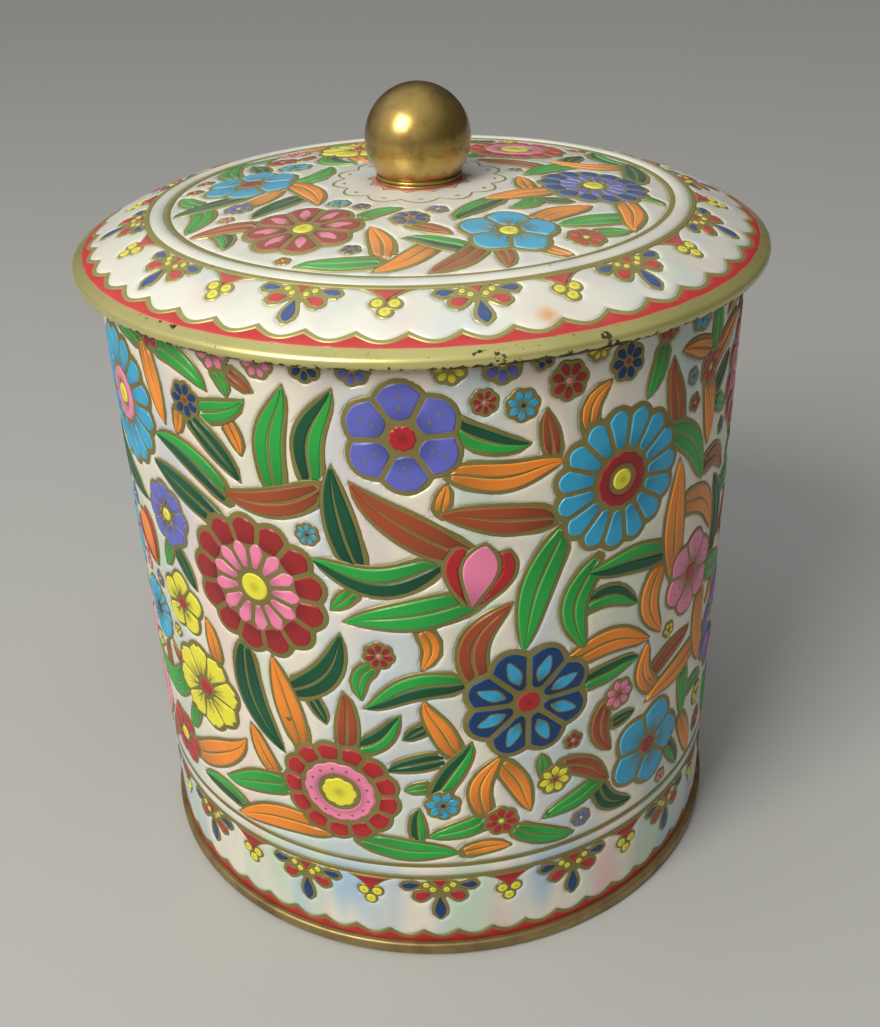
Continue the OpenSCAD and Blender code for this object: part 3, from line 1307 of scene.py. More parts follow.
@dataclass(frozen=True)
class Graph:
    """A shader tree that is being put together."""

    tree: NodeTree

    def node(self, kind: str, values: dict | None = None, **settings: object) -> Node:
        """Adds a node.

        Args:
            kind: Type of the node.
            values: Sockets to link or constants to set, by the name or number of the input.
            settings: Properties of the node.

        Returns:
            The node.
        """
        made = self.tree.nodes.new(kind)
        for key, value in settings.items():
            setattr(made, key, value)
        self.feed(made, values or {})
        return made

    def feed(self, node: Node, values: dict) -> None:
        """Links sockets to a node's inputs, or sets constants on them.

        Args:
            node: The node.
            values: Sockets or constants, by the name or number of the input.
        """
        for key, value in values.items():
            if isinstance(value, NodeSocket):
                self.tree.links.new(value, node.inputs[key])
            elif node.inputs[key].type == "RGBA":
                node.inputs[key].default_value = (*value, 1.0)
            else:
                node.inputs[key].default_value = value

    def math(self, operation: str, a: Value, b: Value) -> NodeSocket:
        """The result of one operation on two values or sockets."""
        return self.node("ShaderNodeMath", {0: a, 1: b}, operation=operation).outputs[0]

    def ramp(self, value: Value, low: float, high: float, out: float = 1.0) -> NodeSocket:
        """A value that goes smoothly from 0 to out as the input goes from low to high."""
        return self.node("ShaderNodeMapRange", {0: value, 1: low, 2: high, 3: 0.0, 4: out},
                         interpolation_type="SMOOTHSTEP").outputs[0]

    def blend(self, share: Value, a: Colour, b: Colour) -> NodeSocket:
        """The colour a, mixed with b by a share."""
        return self.node("ShaderNodeMix", {0: share, 6: a, 7: b}, data_type="RGBA").outputs[2]

    def noise(self, vector: NodeSocket, scale: float, detail: float = 3.0) -> Node:
        """A noise texture."""
        return self.node("ShaderNodeTexNoise", {"Vector": vector, "Scale": scale, "Detail": detail})


def make_wear_group() -> NodeTree:
    """Shared marks of age: slow mottling, smaller clouds, fine grain and dark specks.

    Returns:
        The node group.
    """
    tree = bpy.data.node_groups.new("age_marks", "ShaderNodeTree")
    tree.interface.new_socket("Vector", in_out="INPUT", socket_type="NodeSocketVector")
    for name in ("Mottle", "Cloud", "Grain", "Speck"):
        tree.interface.new_socket(name, in_out="OUTPUT", socket_type="NodeSocketFloat")
    graph = Graph(tree)
    vector = graph.node("NodeGroupInput").outputs["Vector"]
    mottle = graph.noise(vector, 70.0, 4.0).outputs["Fac"]
    cloud = graph.noise(vector, 240.0, 3.0).outputs["Fac"]
    grain = graph.noise(vector, 1100.0, 2.0).outputs["Fac"]
    warp = graph.node("ShaderNodeVectorMath", {0: graph.noise(vector, 2200.0, 1.0).outputs["Color"],
                                               1: (0.0004, 0.0004, 0.0004), 2: vector},
                      operation="MULTIPLY_ADD").outputs[0]
    spots = graph.node("ShaderNodeTexVoronoi", {"Vector": warp, "Scale": 150.0})
    few = graph.node("ShaderNodeSeparateColor", {0: spots.outputs["Color"]})
    size = graph.ramp(few.outputs[0], 0.86, 1.0, 0.085)
    speck = graph.ramp(graph.math("SUBTRACT", size, spots.outputs["Distance"]), 0.0, 0.02)
    graph.node("NodeGroupOutput", {"Mottle": mottle, "Cloud": cloud, "Grain": grain, "Speck": speck})
    return tree


def make_pearl_group() -> NodeTree:
    """Mother-of-pearl ground: cream with soft upright patches of pink, blue and green.

    Returns:
        The node group.
    """
    tree = bpy.data.node_groups.new("pearl_patches", "ShaderNodeTree")
    tree.interface.new_socket("Vector", in_out="INPUT", socket_type="NodeSocketVector")
    tree.interface.new_socket("Strength", in_out="INPUT", socket_type="NodeSocketFloat")
    tree.interface.new_socket("Base", in_out="INPUT", socket_type="NodeSocketColor")
    tree.interface.new_socket("Color", in_out="OUTPUT", socket_type="NodeSocketColor")
    graph = Graph(tree)
    given = graph.node("NodeGroupInput")
    tall = graph.node("ShaderNodeVectorMath", {0: given.outputs["Vector"], 1: (1.0, 1.0, 0.2)},
                      operation="MULTIPLY").outputs[0]
    parts = graph.node("ShaderNodeSeparateColor", {0: graph.noise(tall, 75.0, 1.5).outputs["Color"]})
    colour = given.outputs["Base"]
    for k, tint in enumerate(("#ecc6c2", "#aac6de", "#c6dac4")):
        share = graph.math("MULTIPLY", graph.ramp(parts.outputs[k], 0.5, 0.68), given.outputs["Strength"])
        colour = graph.blend(share, colour, srgb(tint))
    graph.node("NodeGroupOutput", {"Color": colour})
    return tree


class Finish(ABC):
    """A finish that makes one material."""

    name: str
    wear: NodeTree
    pearl: NodeTree

    @classmethod
    def prepare(cls) -> None:
        """Makes the shared groups once."""
        Finish.wear = make_wear_group()
        Finish.pearl = make_pearl_group()

    def start(self) -> tuple[Material, Graph, Node, NodeSocket, Node]:
        """An empty material.

        Returns:
            The material, its graph, its Principled node, the object coordinates and the age marks.
        """
        material = bpy.data.materials.new(self.name)
        material.use_nodes = True
        material.node_tree.nodes.clear()
        graph = Graph(material.node_tree)
        shader = graph.node("ShaderNodeBsdfPrincipled")
        graph.node("ShaderNodeOutputMaterial", {"Surface": shader.outputs[0]})
        place = graph.node("ShaderNodeTexCoord").outputs["Object"]
        marks = graph.node("ShaderNodeGroup", {"Vector": place}, node_tree=Finish.wear)
        return material, graph, shader, place, marks

    @abstractmethod
    def make(self) -> Material:
        """Makes the material."""


@dataclass(frozen=True)
class PearlGround(Finish):
    """Pearly lacquer on tinplate, pressed up between the figures.

    Its patches have a strength of their own in the lower border. A stain has its middle in millimetres.
    """

    name: str
    base: str
    strength: float
    border: float
    stain: tuple[float, float, float] | None = None

    def make(self) -> Material:
        """Pearl patches, faint mottling, a few specks, the pressed edge and a fine orange peel.

        Returns:
            The material.
        """
        material, graph, shader, place, marks = self.start()
        z = graph.node("ShaderNodeSeparateXYZ", {0: place}).outputs["Z"]
        strength = graph.math("ADD", graph.ramp(z, 0.03, 0.018, self.border - self.strength), self.strength)
        pearl = graph.node("ShaderNodeGroup", {"Vector": place, "Strength": strength,
                                               "Base": srgb(self.base)}, node_tree=Finish.pearl)
        colour = graph.blend(graph.ramp(marks.outputs["Mottle"], 0.45, 0.75, 0.25), pearl.outputs["Color"],
                             srgb("#cfc4b0"))
        if self.stain:
            middle = tuple(v * MM for v in self.stain)
            far = graph.node("ShaderNodeVectorMath", {0: place, 1: middle}, operation="DISTANCE")
            uneven = graph.math("MULTIPLY", marks.outputs["Mottle"], 0.003)
            ragged = graph.math("ADD", far.outputs["Value"], uneven)
            colour = graph.blend(graph.ramp(ragged, 0.0045, 0.0018, 0.85), colour, srgb("#e2a750"))
        colour = graph.blend(graph.math("MULTIPLY", marks.outputs["Speck"], 0.8), colour, srgb("#6d5a3c"))
        free = graph.node("ShaderNodeAttribute", attribute_name="free").outputs["Fac"]
        peel = graph.math("MULTIPLY", marks.outputs["Grain"], 0.03)
        height = graph.math("ADD", graph.ramp(free, 0.0, 0.35), peel)
        bump = graph.node("ShaderNodeBump", {"Height": height, "Strength": 1.0, "Distance": 0.0001})
        graph.feed(shader, {
            "Base Color": colour, "Metallic": 0.1, "Coat Weight": 0.3, "Coat Roughness": 0.15,
            "Roughness": graph.math("ADD", graph.ramp(marks.outputs["Mottle"], 0.3, 0.7, 0.12), 0.32),
            "Normal": bump.outputs[0]})
        return material


@dataclass(frozen=True)
class Enamel(Finish):
    """A bright printing ink, deeper at the root of each cell and paler along its edge, where the ink thins
    and where a painted highlight stands for the light caught on the cell's bevel.

    The painted sheen is the share of a pale veil on the top of the lid: a painted reflection of the bright
    room that washes out the inks.
    """

    name: str
    colour: str
    edge: str
    painted_sheen: float = 0.0

    def make(self) -> Material:
        """The ink, its depth by the along attribute, a painted edge highlight by the rim attribute, uneven
        patches, specks, a painted sheen where it is asked for, and a soft gloss.

        Returns:
            The material.
        """
        material, graph, shader, place, marks = self.start()
        rim, along = (graph.node("ShaderNodeAttribute", attribute_name=key).outputs["Fac"]
                      for key in ("rim", "along"))
        main = srgb(self.colour)
        deep, darkening = (tuple(share * c for c in main) for share in (0.62, 0.78))
        inner = graph.blend(graph.ramp(along, 0.0, 0.6), deep, main)
        inner = graph.blend(graph.ramp(marks.outputs["Mottle"], 0.4, 0.75, 0.4), inner, darkening)
        # painted highlight: the paler edge colour along each cell's bevel stands for light caught there, as
        # well as for the thinner ink
        body = graph.blend(graph.ramp(rim, 0.05, 0.7), srgb(self.edge), inner)
        # painted sheen: a pale veil, stronger high on the lid's top and patchy by the clouds, that stands for
        # the room's reflection
        if self.painted_sheen:
            z = graph.node("ShaderNodeSeparateXYZ", {0: place}).outputs["Z"]
            high = graph.math("ADD", graph.ramp(z, 0.129, 0.134, 0.6 * self.painted_sheen), 0.4 * self.painted_sheen)
            patchy = graph.math("MULTIPLY", high, graph.math("ADD", marks.outputs["Cloud"], 0.5))
            body = graph.blend(patchy, body, srgb("#e9e6d2"))
        colour = graph.blend(graph.math("MULTIPLY", marks.outputs["Speck"], 0.7), body, srgb("#4a3f2a"))
        bump = graph.node("ShaderNodeBump", {"Height": marks.outputs["Grain"], "Strength": 0.1,
                                             "Distance": 0.0002})
        graph.feed(shader, {
            "Base Color": colour, "Specular IOR Level": 0.3, "Coat Weight": 0.12, "Coat Roughness": 0.12,
            "Roughness": graph.math("ADD", graph.ramp(marks.outputs["Grain"], 0.3, 0.7, 0.14), 0.3),
            "Normal": bump.outputs[0]})
        return material


@dataclass(frozen=True)
class Metal(Finish):
    """A metal or metallic ink with darker mottling and specks."""

    name: str
    colour: str
    dark: str
    metallic: float
    roughness: float
    mottling: float = 0.4
    grain: float = 0.1
    dents: float = 0.0
    coat: float = 0.0

    def make(self) -> Material:
        """The metal, darkened in patches and specks, with slow dents and a grain in its gloss.

        Returns:
            The material.
        """
        material, graph, shader, _, marks = self.start()
        cloud = graph.math("MULTIPLY", marks.outputs["Cloud"], 0.6)
        patch = graph.ramp(graph.math("ADD", marks.outputs["Mottle"], cloud), 0.68, 1.05, self.mottling)
        tone = graph.blend(patch, srgb(self.colour), srgb(self.dark))
        colour = graph.blend(graph.math("MULTIPLY", marks.outputs["Speck"], 0.85), tone, srgb("#33281a"))
        height = graph.math("ADD", graph.math("MULTIPLY", marks.outputs["Grain"], self.grain),
                            graph.math("MULTIPLY", marks.outputs["Mottle"], self.dents))
        bump = graph.node("ShaderNodeBump", {"Height": height, "Strength": 1.0, "Distance": 0.0002})
        rough = graph.math("ADD", graph.ramp(marks.outputs["Mottle"], 0.35, 0.75, 0.14), self.roughness)
        graph.feed(shader, {
            "Base Color": colour, "Metallic": self.metallic, "Normal": bump.outputs[0],
            "Coat Weight": self.coat, "Coat Roughness": 0.11,
            "Roughness": graph.math("ADD", rough, graph.math("MULTIPLY", marks.outputs["Speck"], 0.3))})
        return material


@dataclass(frozen=True)
class ChippedGold(Finish):
    """Gold lacquer on the rolled rim, dark along its lower edge with rust and with painted shade of the
    underside, and pitted in patches.
    """

    name: str
    colour: str
    dark: str
    edge_z: float
    edge_h: float

    def make(self) -> Material:
        """Gold with patches, pits and specks, and chipped spots whose number grows towards the lower edge,
        over a thin dark band there that is rust and painted shade.

        Returns:
            The material.
        """
        material, graph, shader, place, marks = self.start()
        z = graph.node("ShaderNodeSeparateXYZ", {0: place}).outputs["Z"]
        low = graph.ramp(z, (self.edge_z + self.edge_h) * MM, self.edge_z * MM)
        # painted shade: an even band near the lower edge that darkens like the shade under the rim, as well
        # as rust
        last = graph.ramp(z, (self.edge_z + 0.7 * self.edge_h) * MM, (self.edge_z + 0.25 * self.edge_h) * MM,
                          0.17)
        patch = graph.ramp(graph.noise(place, 45.0, 2.0).outputs["Fac"], 0.42, 0.62, 0.3)
        bite = graph.noise(place, 900.0, 3.0).outputs["Fac"]
        # this mask carries the painted shade band along the lower edge as well as the wear
        darkening = graph.math("ADD", last, graph.math("MULTIPLY", low, graph.math("ADD", patch, 0.06)))
        pits = graph.math("ADD", graph.noise(place, 560.0, 4.0).outputs["Fac"],
                          graph.math("MULTIPLY", patch, 0.5))
        dots = graph.math("MAXIMUM", graph.ramp(pits, 0.735, 0.765),
                          graph.math("MULTIPLY", marks.outputs["Speck"], 0.85))
        chips_and_edge_shade = graph.math("MAXIMUM", graph.ramp(graph.math("ADD", darkening, bite), 0.685, 0.76), dots)
        tone = graph.blend(graph.ramp(marks.outputs["Mottle"], 0.42, 0.74, 0.4), srgb(self.colour),
                           srgb(self.dark))
        # the dark rust colour also paints the shade along the rim's lower edge
        rust = graph.blend(graph.ramp(marks.outputs["Grain"], 0.35, 0.65), srgb("#2c2818"), srgb("#5c4d2c"))
        colour = graph.blend(chips_and_edge_shade, tone, rust)
        height = graph.math("SUBTRACT", graph.math("MULTIPLY", marks.outputs["Grain"], 0.25), chips_and_edge_shade)
        bump = graph.node("ShaderNodeBump", {"Height": height, "Strength": 0.35, "Distance": 0.0001})
        graph.feed(shader, {
            "Base Color": colour, "Normal": bump.outputs[0],
            "Metallic": graph.math("SUBTRACT", 0.55, graph.math("MULTIPLY", chips_and_edge_shade, 0.4)),
            "Coat Weight": graph.math("SUBTRACT", 0.6, graph.math("MULTIPLY", chips_and_edge_shade, 0.6)),
            "Coat Roughness": 0.24,
            "Roughness": graph.math("ADD", 0.34, graph.math("MULTIPLY", chips_and_edge_shade, 0.4))})
        return material


@dataclass(frozen=True)
class Matte(Finish):
    """A plain surface of the stage."""

    name: str
    colour: str
    roughness: float

    def make(self) -> Material:
        """An even colour.

        Returns:
            The material.
        """
        material, graph, shader, _, _ = self.start()
        graph.feed(shader, {"Base Color": srgb(self.colour), "Roughness": self.roughness})
        return material


# the second colour of each ink is its paler edge: thinner ink and a painted highlight on the bevel
ENAMELS = {
    Ink.TURQUOISE: ("#33a9d6", "#8fd3ea"),
    Ink.PINK: ("#f285ac", "#f8b9cd"),
    Ink.ROSE: ("#e0607e", "#efa0b0"),
    Ink.NAVY: ("#0f3a6c", "#356aa4"),
    Ink.RED: ("#c22027", "#dc6656"),
    Ink.WINE: ("#9c2328", "#c45a4a"),
    Ink.VIOLET: ("#6469c4", "#9a9edb"),
    Ink.ORANGE: ("#f78f30", "#fbc06a"),
    Ink.RUST: ("#a34c2b", "#c98050"),
    Ink.GREEN: ("#2aa646", "#7fce6a"),
    Ink.PINE: ("#0b5134", "#2f8457"),
    Ink.YELLOW: ("#ece23c", "#f6f08e"),
}
TUNED_ENAMELS = {"ink_red": ("#b3252a", "#cf6151"), "lid_ink_navy": ("#0a4088", "#3a72b4")}


class Palette:
    """Every material, made once and handed out by name."""

    def __init__(self) -> None:
        """Makes the shared groups and the materials."""
        Finish.prepare()
        finishes: list[Finish] = [
            PearlGround("pearl_wall", "#ede4d3", strength=0.5, border=1.0),
            PearlGround("pearl_lid", "#eeebdf", strength=0.25, border=0.25, stain=(18.3, -55.5, 130.3)),
            Metal("ink_gold", "#8e834b", "#6c6235", 0.5, 0.4),
            # painted sheen: the lid's gold is the same gold ink as the wall's, made paler to stand for its
            # gloss on the upward face
            Metal("lid_ink_gold", "#b3ab6e", "#928a54", 0.5, 0.4),
            ChippedGold("rim_gold", "#cbc37c", "#a89f5e", SIZES.rim_z - 0.5 * SIZES.rim_curl, 1.5),
            Metal("copper_gold", "#a08a5c", "#6f5a38", 0.8, 0.42, 0.8),
            Metal("gold_lacquer", "#c6a049", "#9b7a35", 0.9, 0.28, 0.3),
            Metal("aged_brass", "#b8984f", "#705526", 0.82, 0.25, 0.9, grain=0.03, dents=0.9, coat=0.6),
            Metal("plain_brass", "#c3a25a", "#96783c", 1.0, 0.3),
            Metal("bright_steel", "#c9c9c6", "#a3a29e", 1.0, 0.22, 0.3),
        ]
        # each lid ink also gets a painted sheen, a pale veil that stands for reflection on the lid's top
        for ink, colours in ENAMELS.items():
            wall, lid = f"ink_{ink.value}", f"lid_ink_{ink.value}"
            finishes += [Enamel(wall, *TUNED_ENAMELS.get(wall, colours)),
                         Enamel(lid, *TUNED_ENAMELS.get(lid, colours), painted_sheen=0.13)]
        self.made = {finish.name: finish.make() for finish in finishes}

    def dress(self, piece: Object, name: str) -> None:
        """Gives a piece one material."""
        piece.data.materials.clear()
        piece.data.materials.append(self.made[name])


def level(value: float) -> Curve:
    """A curve that has one value everywhere."""
    return lambda u: value + 0.0 * u


def loop_cell(length: float, count: int, low: Curve, high: Curve, base: float, rise: float,
              start: float = 0.0) -> Cell:
    """A band all round a chart, between two curves in v.

    Args:
        length: Length of the chart in u.
        count: Points round the band.
        low: Function that gives the lower v from u.
        high: Function that gives the upper v from u.
        base: Height that the band lies on.
        rise: Height of the band.
        start: Place in u of the first point.

    Returns:
        The band's cell.
    """
    u = start + np.linspace(0.0, length, count, endpoint=False)[:, None]
    edge = 0.18
    c = steps(4, edge)[None, :] + 0.0 * u
    rim = plateau(c, edge)
    v = low(u) + (high(u) - low(u)) * c
    return Cell(u + 0.0 * c, v, swell(rim, base, rise), rim, 0.0 * c + 1.0, wrap=True)


@dataclass(frozen=True)
class Scallops:
    """A scalloped hem in gold and red. Heights are v on its chart, and its lobes hang down."""

    count: int
    phase: float
    cusp: float
    lobe: float
    red_cusp: float
    red_lobe: float
    end: float

    def curve(self, length: float, cusp: float, lobe: float) -> Curve:
        """A function of u that is lobe in the middle of each lobe and cusp between two, as |cos| gives it."""
        pitch = length / self.count
        return lambda u: cusp - (cusp - lobe) * np.abs(np.cos(np.pi * (u - self.phase) / pitch))

    def white(self, length: float) -> Curve:
        """The curve that the ground ends at."""
        return self.curve(length, self.cusp, self.lobe)

    def lay(self, sheet: Print, chart: Chart, length: float) -> None:
        """Lays the gold hem and the red under it.

        Args:
            sheet: Print that gathers the cells.
            chart: Chart of the border.
            length: Length of the chart in u.
        """
        red = self.curve(length, self.red_cusp, self.red_lobe)
        count = self.count * 12
        gold = loop_cell(length, count, red, self.white(length), 0.0, PLATE_H, self.phase)
        sheet.put(Ink.GOLD, chart, gold)
        under = loop_cell(length, count, level(self.end), lambda u: red(u) + 0.08, -0.01, 0.06, self.phase)
        sheet.put(Ink.RED, chart, under)


LEAF_INKS = ((Ink.GREEN, Ink.GREEN), (Ink.ORANGE, Ink.ORANGE), (Ink.PINE, Ink.PINE), (Ink.GREEN, Ink.GREEN),
             (Ink.RUST, Ink.RUST), (Ink.PINE, Ink.GREEN), (Ink.ORANGE, Ink.ORANGE))
FLOWER_INKS = ((Ink.NAVY, Ink.RED), (Ink.PINK, Ink.RED), (Ink.TURQUOISE, Ink.NAVY), (Ink.RED, Ink.YELLOW),
               (Ink.VIOLET, Ink.YELLOW), (Ink.YELLOW, Ink.RED), (Ink.WINE, Ink.PINK))


def settle(palette: Palette, piece: Object, finish: str, body: str,
           node: str | None = None) -> None:
    """Dresses a piece and puts it on a body.

    Args:
        palette: The materials.
        piece: The piece.
        finish: Name of its material.
        body: Body that it rides on.
        node: Solid that it stands for, or None.
    """
    palette.dress(piece, finish)
    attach(piece, body)
    if node:
        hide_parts(node)
    LOG.info("%s: %d triangles, on the %s", piece.name, len(piece.data.polygons), body)


@dataclass
class WallAssembly:
    """The wall with its print. Heights are above the floor."""

    palette: Palette
    low: float = 3.1
    flower_low: float = 24.0
    top: float = 124.3
    upper_line: tuple[float, float] = (22.8, 23.85)
    lower_line: tuple[float, float] = (19.6, 20.65)
    repeats: int = 2
    pendants: int = 14
    border_phase: float = -0.9
    skin_turns: int = 380
    seam_low: float = 4.4
    seam_in: float = 0.9
    seam_out: float = 0.32
    liner_in: float = 0.22
    liner_t: float = 0.14
    liner_low: float = 1.4

    def __post_init__(self) -> None:
        """Works out the length round the wall and its chart."""
        self.length = 2.0 * math.pi * SIZES.wall_r
        self.chart = WallChart(SIZES.wall_r)
        self.phase = math.radians(self.border_phase) * SIZES.wall_r
        self.hem = Scallops(56, self.phase, cusp=6.2, lobe=4.6, red_cusp=5.0, red_lobe=3.75,
                            end=self.low - 0.1)

    def flowers(self) -> Layout:
        """The flower band: large heads and tulips first, then leaves and small flowers by size.

        Returns:
            The layout of one repeat.
        """
        period = self.length / self.repeats
        sheet = Layout((-period / 2.0, self.flower_low), (period / 2.0, self.top), PITCH, period, seed=5)
        sheet.top = self.top
        sheet.free = np.minimum(sheet.free, sheet.v[None, :] - self.upper_line[1])
        heads = (
            (Bloom.SUN, 33.0, 100.0, 13.5, (Ink.TURQUOISE, Ink.WINE, Ink.YELLOW)),
            (Bloom.DAHLIA, -32.0, 82.0, 14.5, (Ink.WINE, Ink.PINK, Ink.YELLOW)),
            (Bloom.ROSETTE, 16.0, 60.0, 12.5, (Ink.NAVY, Ink.TURQUOISE, Ink.RED)),
            (Bloom.ANEMONE, -4.0, 113.0, 10.0, (Ink.VIOLET, Ink.RED)),
            (Bloom.MARIGOLD, -19.0, 40.0, 12.0, (Ink.RED, Ink.PINK, Ink.YELLOW)),
            (Bloom.COSMOS, -49.0, 53.0, 10.0, (Ink.YELLOW, Ink.RED)),
            (Bloom.BUTTERCUP, 44.0, 38.0, 10.5, (Ink.TURQUOISE, Ink.WINE)),
            (Bloom.ANEMONE, 55.0, 72.0, 9.0, (Ink.PINK, Ink.RED)),
            (Bloom.SUN, -66.0, 108.0, 13.5, (Ink.TURQUOISE, Ink.PINK, Ink.YELLOW)),
            (Bloom.DAHLIA, 79.0, 105.0, 13.5, (Ink.RED, Ink.PINK, Ink.YELLOW)),
            (Bloom.ROSETTE, 76.0, 50.0, 12.0, (Ink.VIOLET, Ink.PINK, Ink.YELLOW)),
            (Bloom.COSMOS, -79.0, 38.0, 9.5, (Ink.PINK, Ink.WINE)),
            (Bloom.MARIGOLD, -84.0, 75.0, 12.0, (Ink.TURQUOISE, Ink.NAVY, Ink.RED)),
        )
        for k, (kind, u, v, size, inks) in enumerate(heads):
            sheet.add(Flower(kind, u, v, size, inks, 11.0 * k))
        sheet.add(*tulip(6.0, 81.0, 78.0, 13.0, (Ink.PINK, Ink.RED)))
        sheet.add(*tulip(-62.0, 74.0, 125.0, 12.0, (Ink.ORANGE, Ink.RED)))
        sheet.sow(FLOWER_INKS, 7.0, 5.0, 8)
        sheet.grow(LEAF_INKS, 26.0, 19.0, 12)
        sizes = ((22.0, 15.0, 30, 3.6), (16.0, 11.0, 40, 3.0), (11.0, 7.5, 50, 2.5), (8.0, 5.5, 60, 2.2))
        for longest, shortest, most, flower in sizes:
            sheet.grow(LEAF_INKS, longest, shortest, most)
            sheet.sow(FLOWER_INKS, flower, max(1.6, flower - 1.0), 12)
        sheet.level_gaps()
        LOG.info("wall flowers: %d figures in one repeat", len(sheet.motifs))
        return sheet

    def border(self) -> Layout:
        """One repeat of the lower border: a pendant and a trefoil between its lines and its hem.

        Returns:
            The layout of the repeat.
        """
        period = self.length / self.pendants
        sheet = Layout((-period / 2.0, self.low), (period / 2.0, self.lower_line[0]), PITCH, period)
        sheet.top = self.lower_line[0] + 0.2
        sheet.add(*pendant(self.phase, self.lower_line[0], 1.05, 1.0))
        sheet.add(*trefoil(self.phase + period / 2.0, self.lower_line[0], 0.95, 0.95))
        hem = self.hem.white(self.length)(sheet.u[:, None])
        room = np.minimum(self.lower_line[0] - sheet.v[None, :], sheet.v[None, :] - hem)
        sheet.free = np.minimum(sheet.free, room)
        return sheet

    def skin(self, name: str, first: float, flowers: Layout, border: Layout) -> Object:
        """Half of the printed ground: the wall's cylinder, pressed up by the free distance of the layouts.

        Args:
            name: Name of the piece.
            first: Place in u at which the half starts.
            flowers: Layout above the double line.
            border: Layout below it.

        Returns:
            The half skin.
        """
        u = np.linspace(first, first + self.length / 2.0, self.skin_turns + 1)[:, None]
        under, over = self.lower_line, self.upper_line
        v = np.concatenate([np.linspace(self.low, under[0] - 0.15, 31), [sum(under) / 2.0],
                            np.linspace(under[1] + 0.1, over[0] - 0.1, 5), [sum(over) / 2.0],
                            np.linspace(over[1] + 0.15, self.top, 198)])[None, :]
        free = np.where(v < under[0], border.free_at(u, v), flowers.free_at(u, v))
        between = np.minimum(v - under[1], over[0] - v)
        free = np.where((v > under[0]) & (v < over[1]), between, free)
        h = ground_height(free)
        h[:, 0] = h[:, -1] = SKIN_EDGE
        points = self.chart.place(u + 0.0 * h, v + 0.0 * h, h)
        faces = grid_faces(self.skin_turns + 1, v.shape[1], wrap=False)
        return make_object(name, points.reshape(-1, 3), faces, solid=False, free=free)

    def seam(self) -> Object:
        """The lock seam at the back: a rounded oblong section, drawn upright and closed at both ends.

        The section's offsets from its middle go as the cube root of the cosine and the sine.

        Returns:
            The seam.
        """
        a = np.linspace(0.0, 2.0 * np.pi, 37)
        wide, thick_half = SIZES.seam_w / 2.0, (self.seam_in + self.seam_out) / 2.0
        middle = (self.seam_out - self.seam_in) / 2.0
        u = wide * np.cbrt(np.cos(a))
        h = middle + thick_half * np.cbrt(np.sin(a))
        v = np.array([self.seam_low, self.seam_low, self.top - 0.1, self.top - 0.1])[:, None]
        open_end = np.array([0.0, 1.0, 1.0, 0.0])[:, None]
        u, h = self.length / 2.0 + u * open_end, middle + (h - middle) * open_end
        points = self.chart.place(u, v + 0.0 * u, h)
        faces = grid_faces(4, len(a), wrap=False)
        return make_object("wall_lock_seam", points.reshape(-1, 3), faces, solid=True)

    def build(self) -> None:
        """Makes the wall's shell, mouth curl, seam, skin and print, and puts them on the tin."""
        s = SIZES
        liner_r = s.wall_r - self.liner_in
        liner = np.array([[liner_r, self.liner_low], [liner_r, self.top - 0.2]])
        shell = revolve("wall_shell", thick(liner, self.liner_t))
        mid = s.wall_r - s.sheet / 2.0
        curl_r = (s.mouth_curl - s.sheet) / 2.0
        curl = np.vstack([[[mid, self.top - 0.3]],
                          arc(mid - curl_r, s.mouth_z - s.sheet / 2.0 - curl_r, curl_r, 0.0, 270.0, 28)])
        mouth = revolve("wall_mouth_curl", thick(curl, s.sheet))
        flowers, border = self.flowers(), self.border()
        sheet = Print()
        period = self.length / self.repeats
        sheet.put_layout(self.chart, flowers, tuple(period * k for k in range(self.repeats)))
        step = self.length / self.pendants
        sheet.put_layout(self.chart, border, tuple(step * k for k in range(self.pendants)))
        for low, high in (self.upper_line, self.lower_line):
            line = loop_cell(self.length, 512, level(low), level(high), 0.0, PLATE_H)
            sheet.put(Ink.GOLD, self.chart, line)
        self.hem.lay(sheet, self.chart, self.length)
        for piece in (shell, mouth, self.seam()):
            settle(self.palette, piece, "gold_lacquer", "tin", "body_wall")
        for name, first in (("wall_pearl_front", -self.length / 4.0), ("wall_pearl_back", self.length / 4.0)):
            skin = self.skin(name, first, flowers, border)
            settle(self.palette, skin, "pearl_wall", "tin", "body_wall")
        for ink, piece in sheet.pieces("wall_print").items():
            settle(self.palette, piece, f"ink_{ink.value}", "tin")


@dataclass
class BottomAssembly:
    """The bottom with its double seam bead, whose hook ends at a height above the floor."""

    palette: Palette
    hook_low: float = 1.2

    def build(self) -> None:
        """Turns the bottom's sheet about the axis and puts it on the tin."""
        s = SIZES
        mid = s.wall_r - s.sheet / 2.0
        panel = s.panel_lift + s.sheet / 2.0
        chuck = mid - s.fold
        corner = 2.25 * s.fold
        bead = mid + 3.0 * s.fold
        path = np.vstack([
            [[0.0, panel + s.panel_step], [s.panel_step_r, panel + s.panel_step],
             [s.panel_step_r + 2.0 * s.panel_step, panel]],
            arc(chuck - s.sheet, panel - s.sheet, s.sheet, 90.0, 0.0, 7),
            arc(chuck + s.sheet, s.sheet / 2.0 + s.sheet, s.sheet, 180.0, 270.0, 7),
            arc(bead - corner, s.sheet / 2.0 + corner, corner, -90.0, 0.0, 12),
            arc(mid + 2.0 * s.fold, s.bead_h - s.sheet / 2.0 - s.fold, s.fold, 0.0, 82.0, 9),
            [[s.wall_r + s.sheet / 2.0, s.bead_h - s.sheet / 2.0],
             [s.wall_r + s.sheet / 2.0, self.hook_low]],
        ])
        piece = revolve("bottom_with_bead", thick(path, s.sheet))
        settle(self.palette, piece, "copper_gold", "tin", "bottom_end")


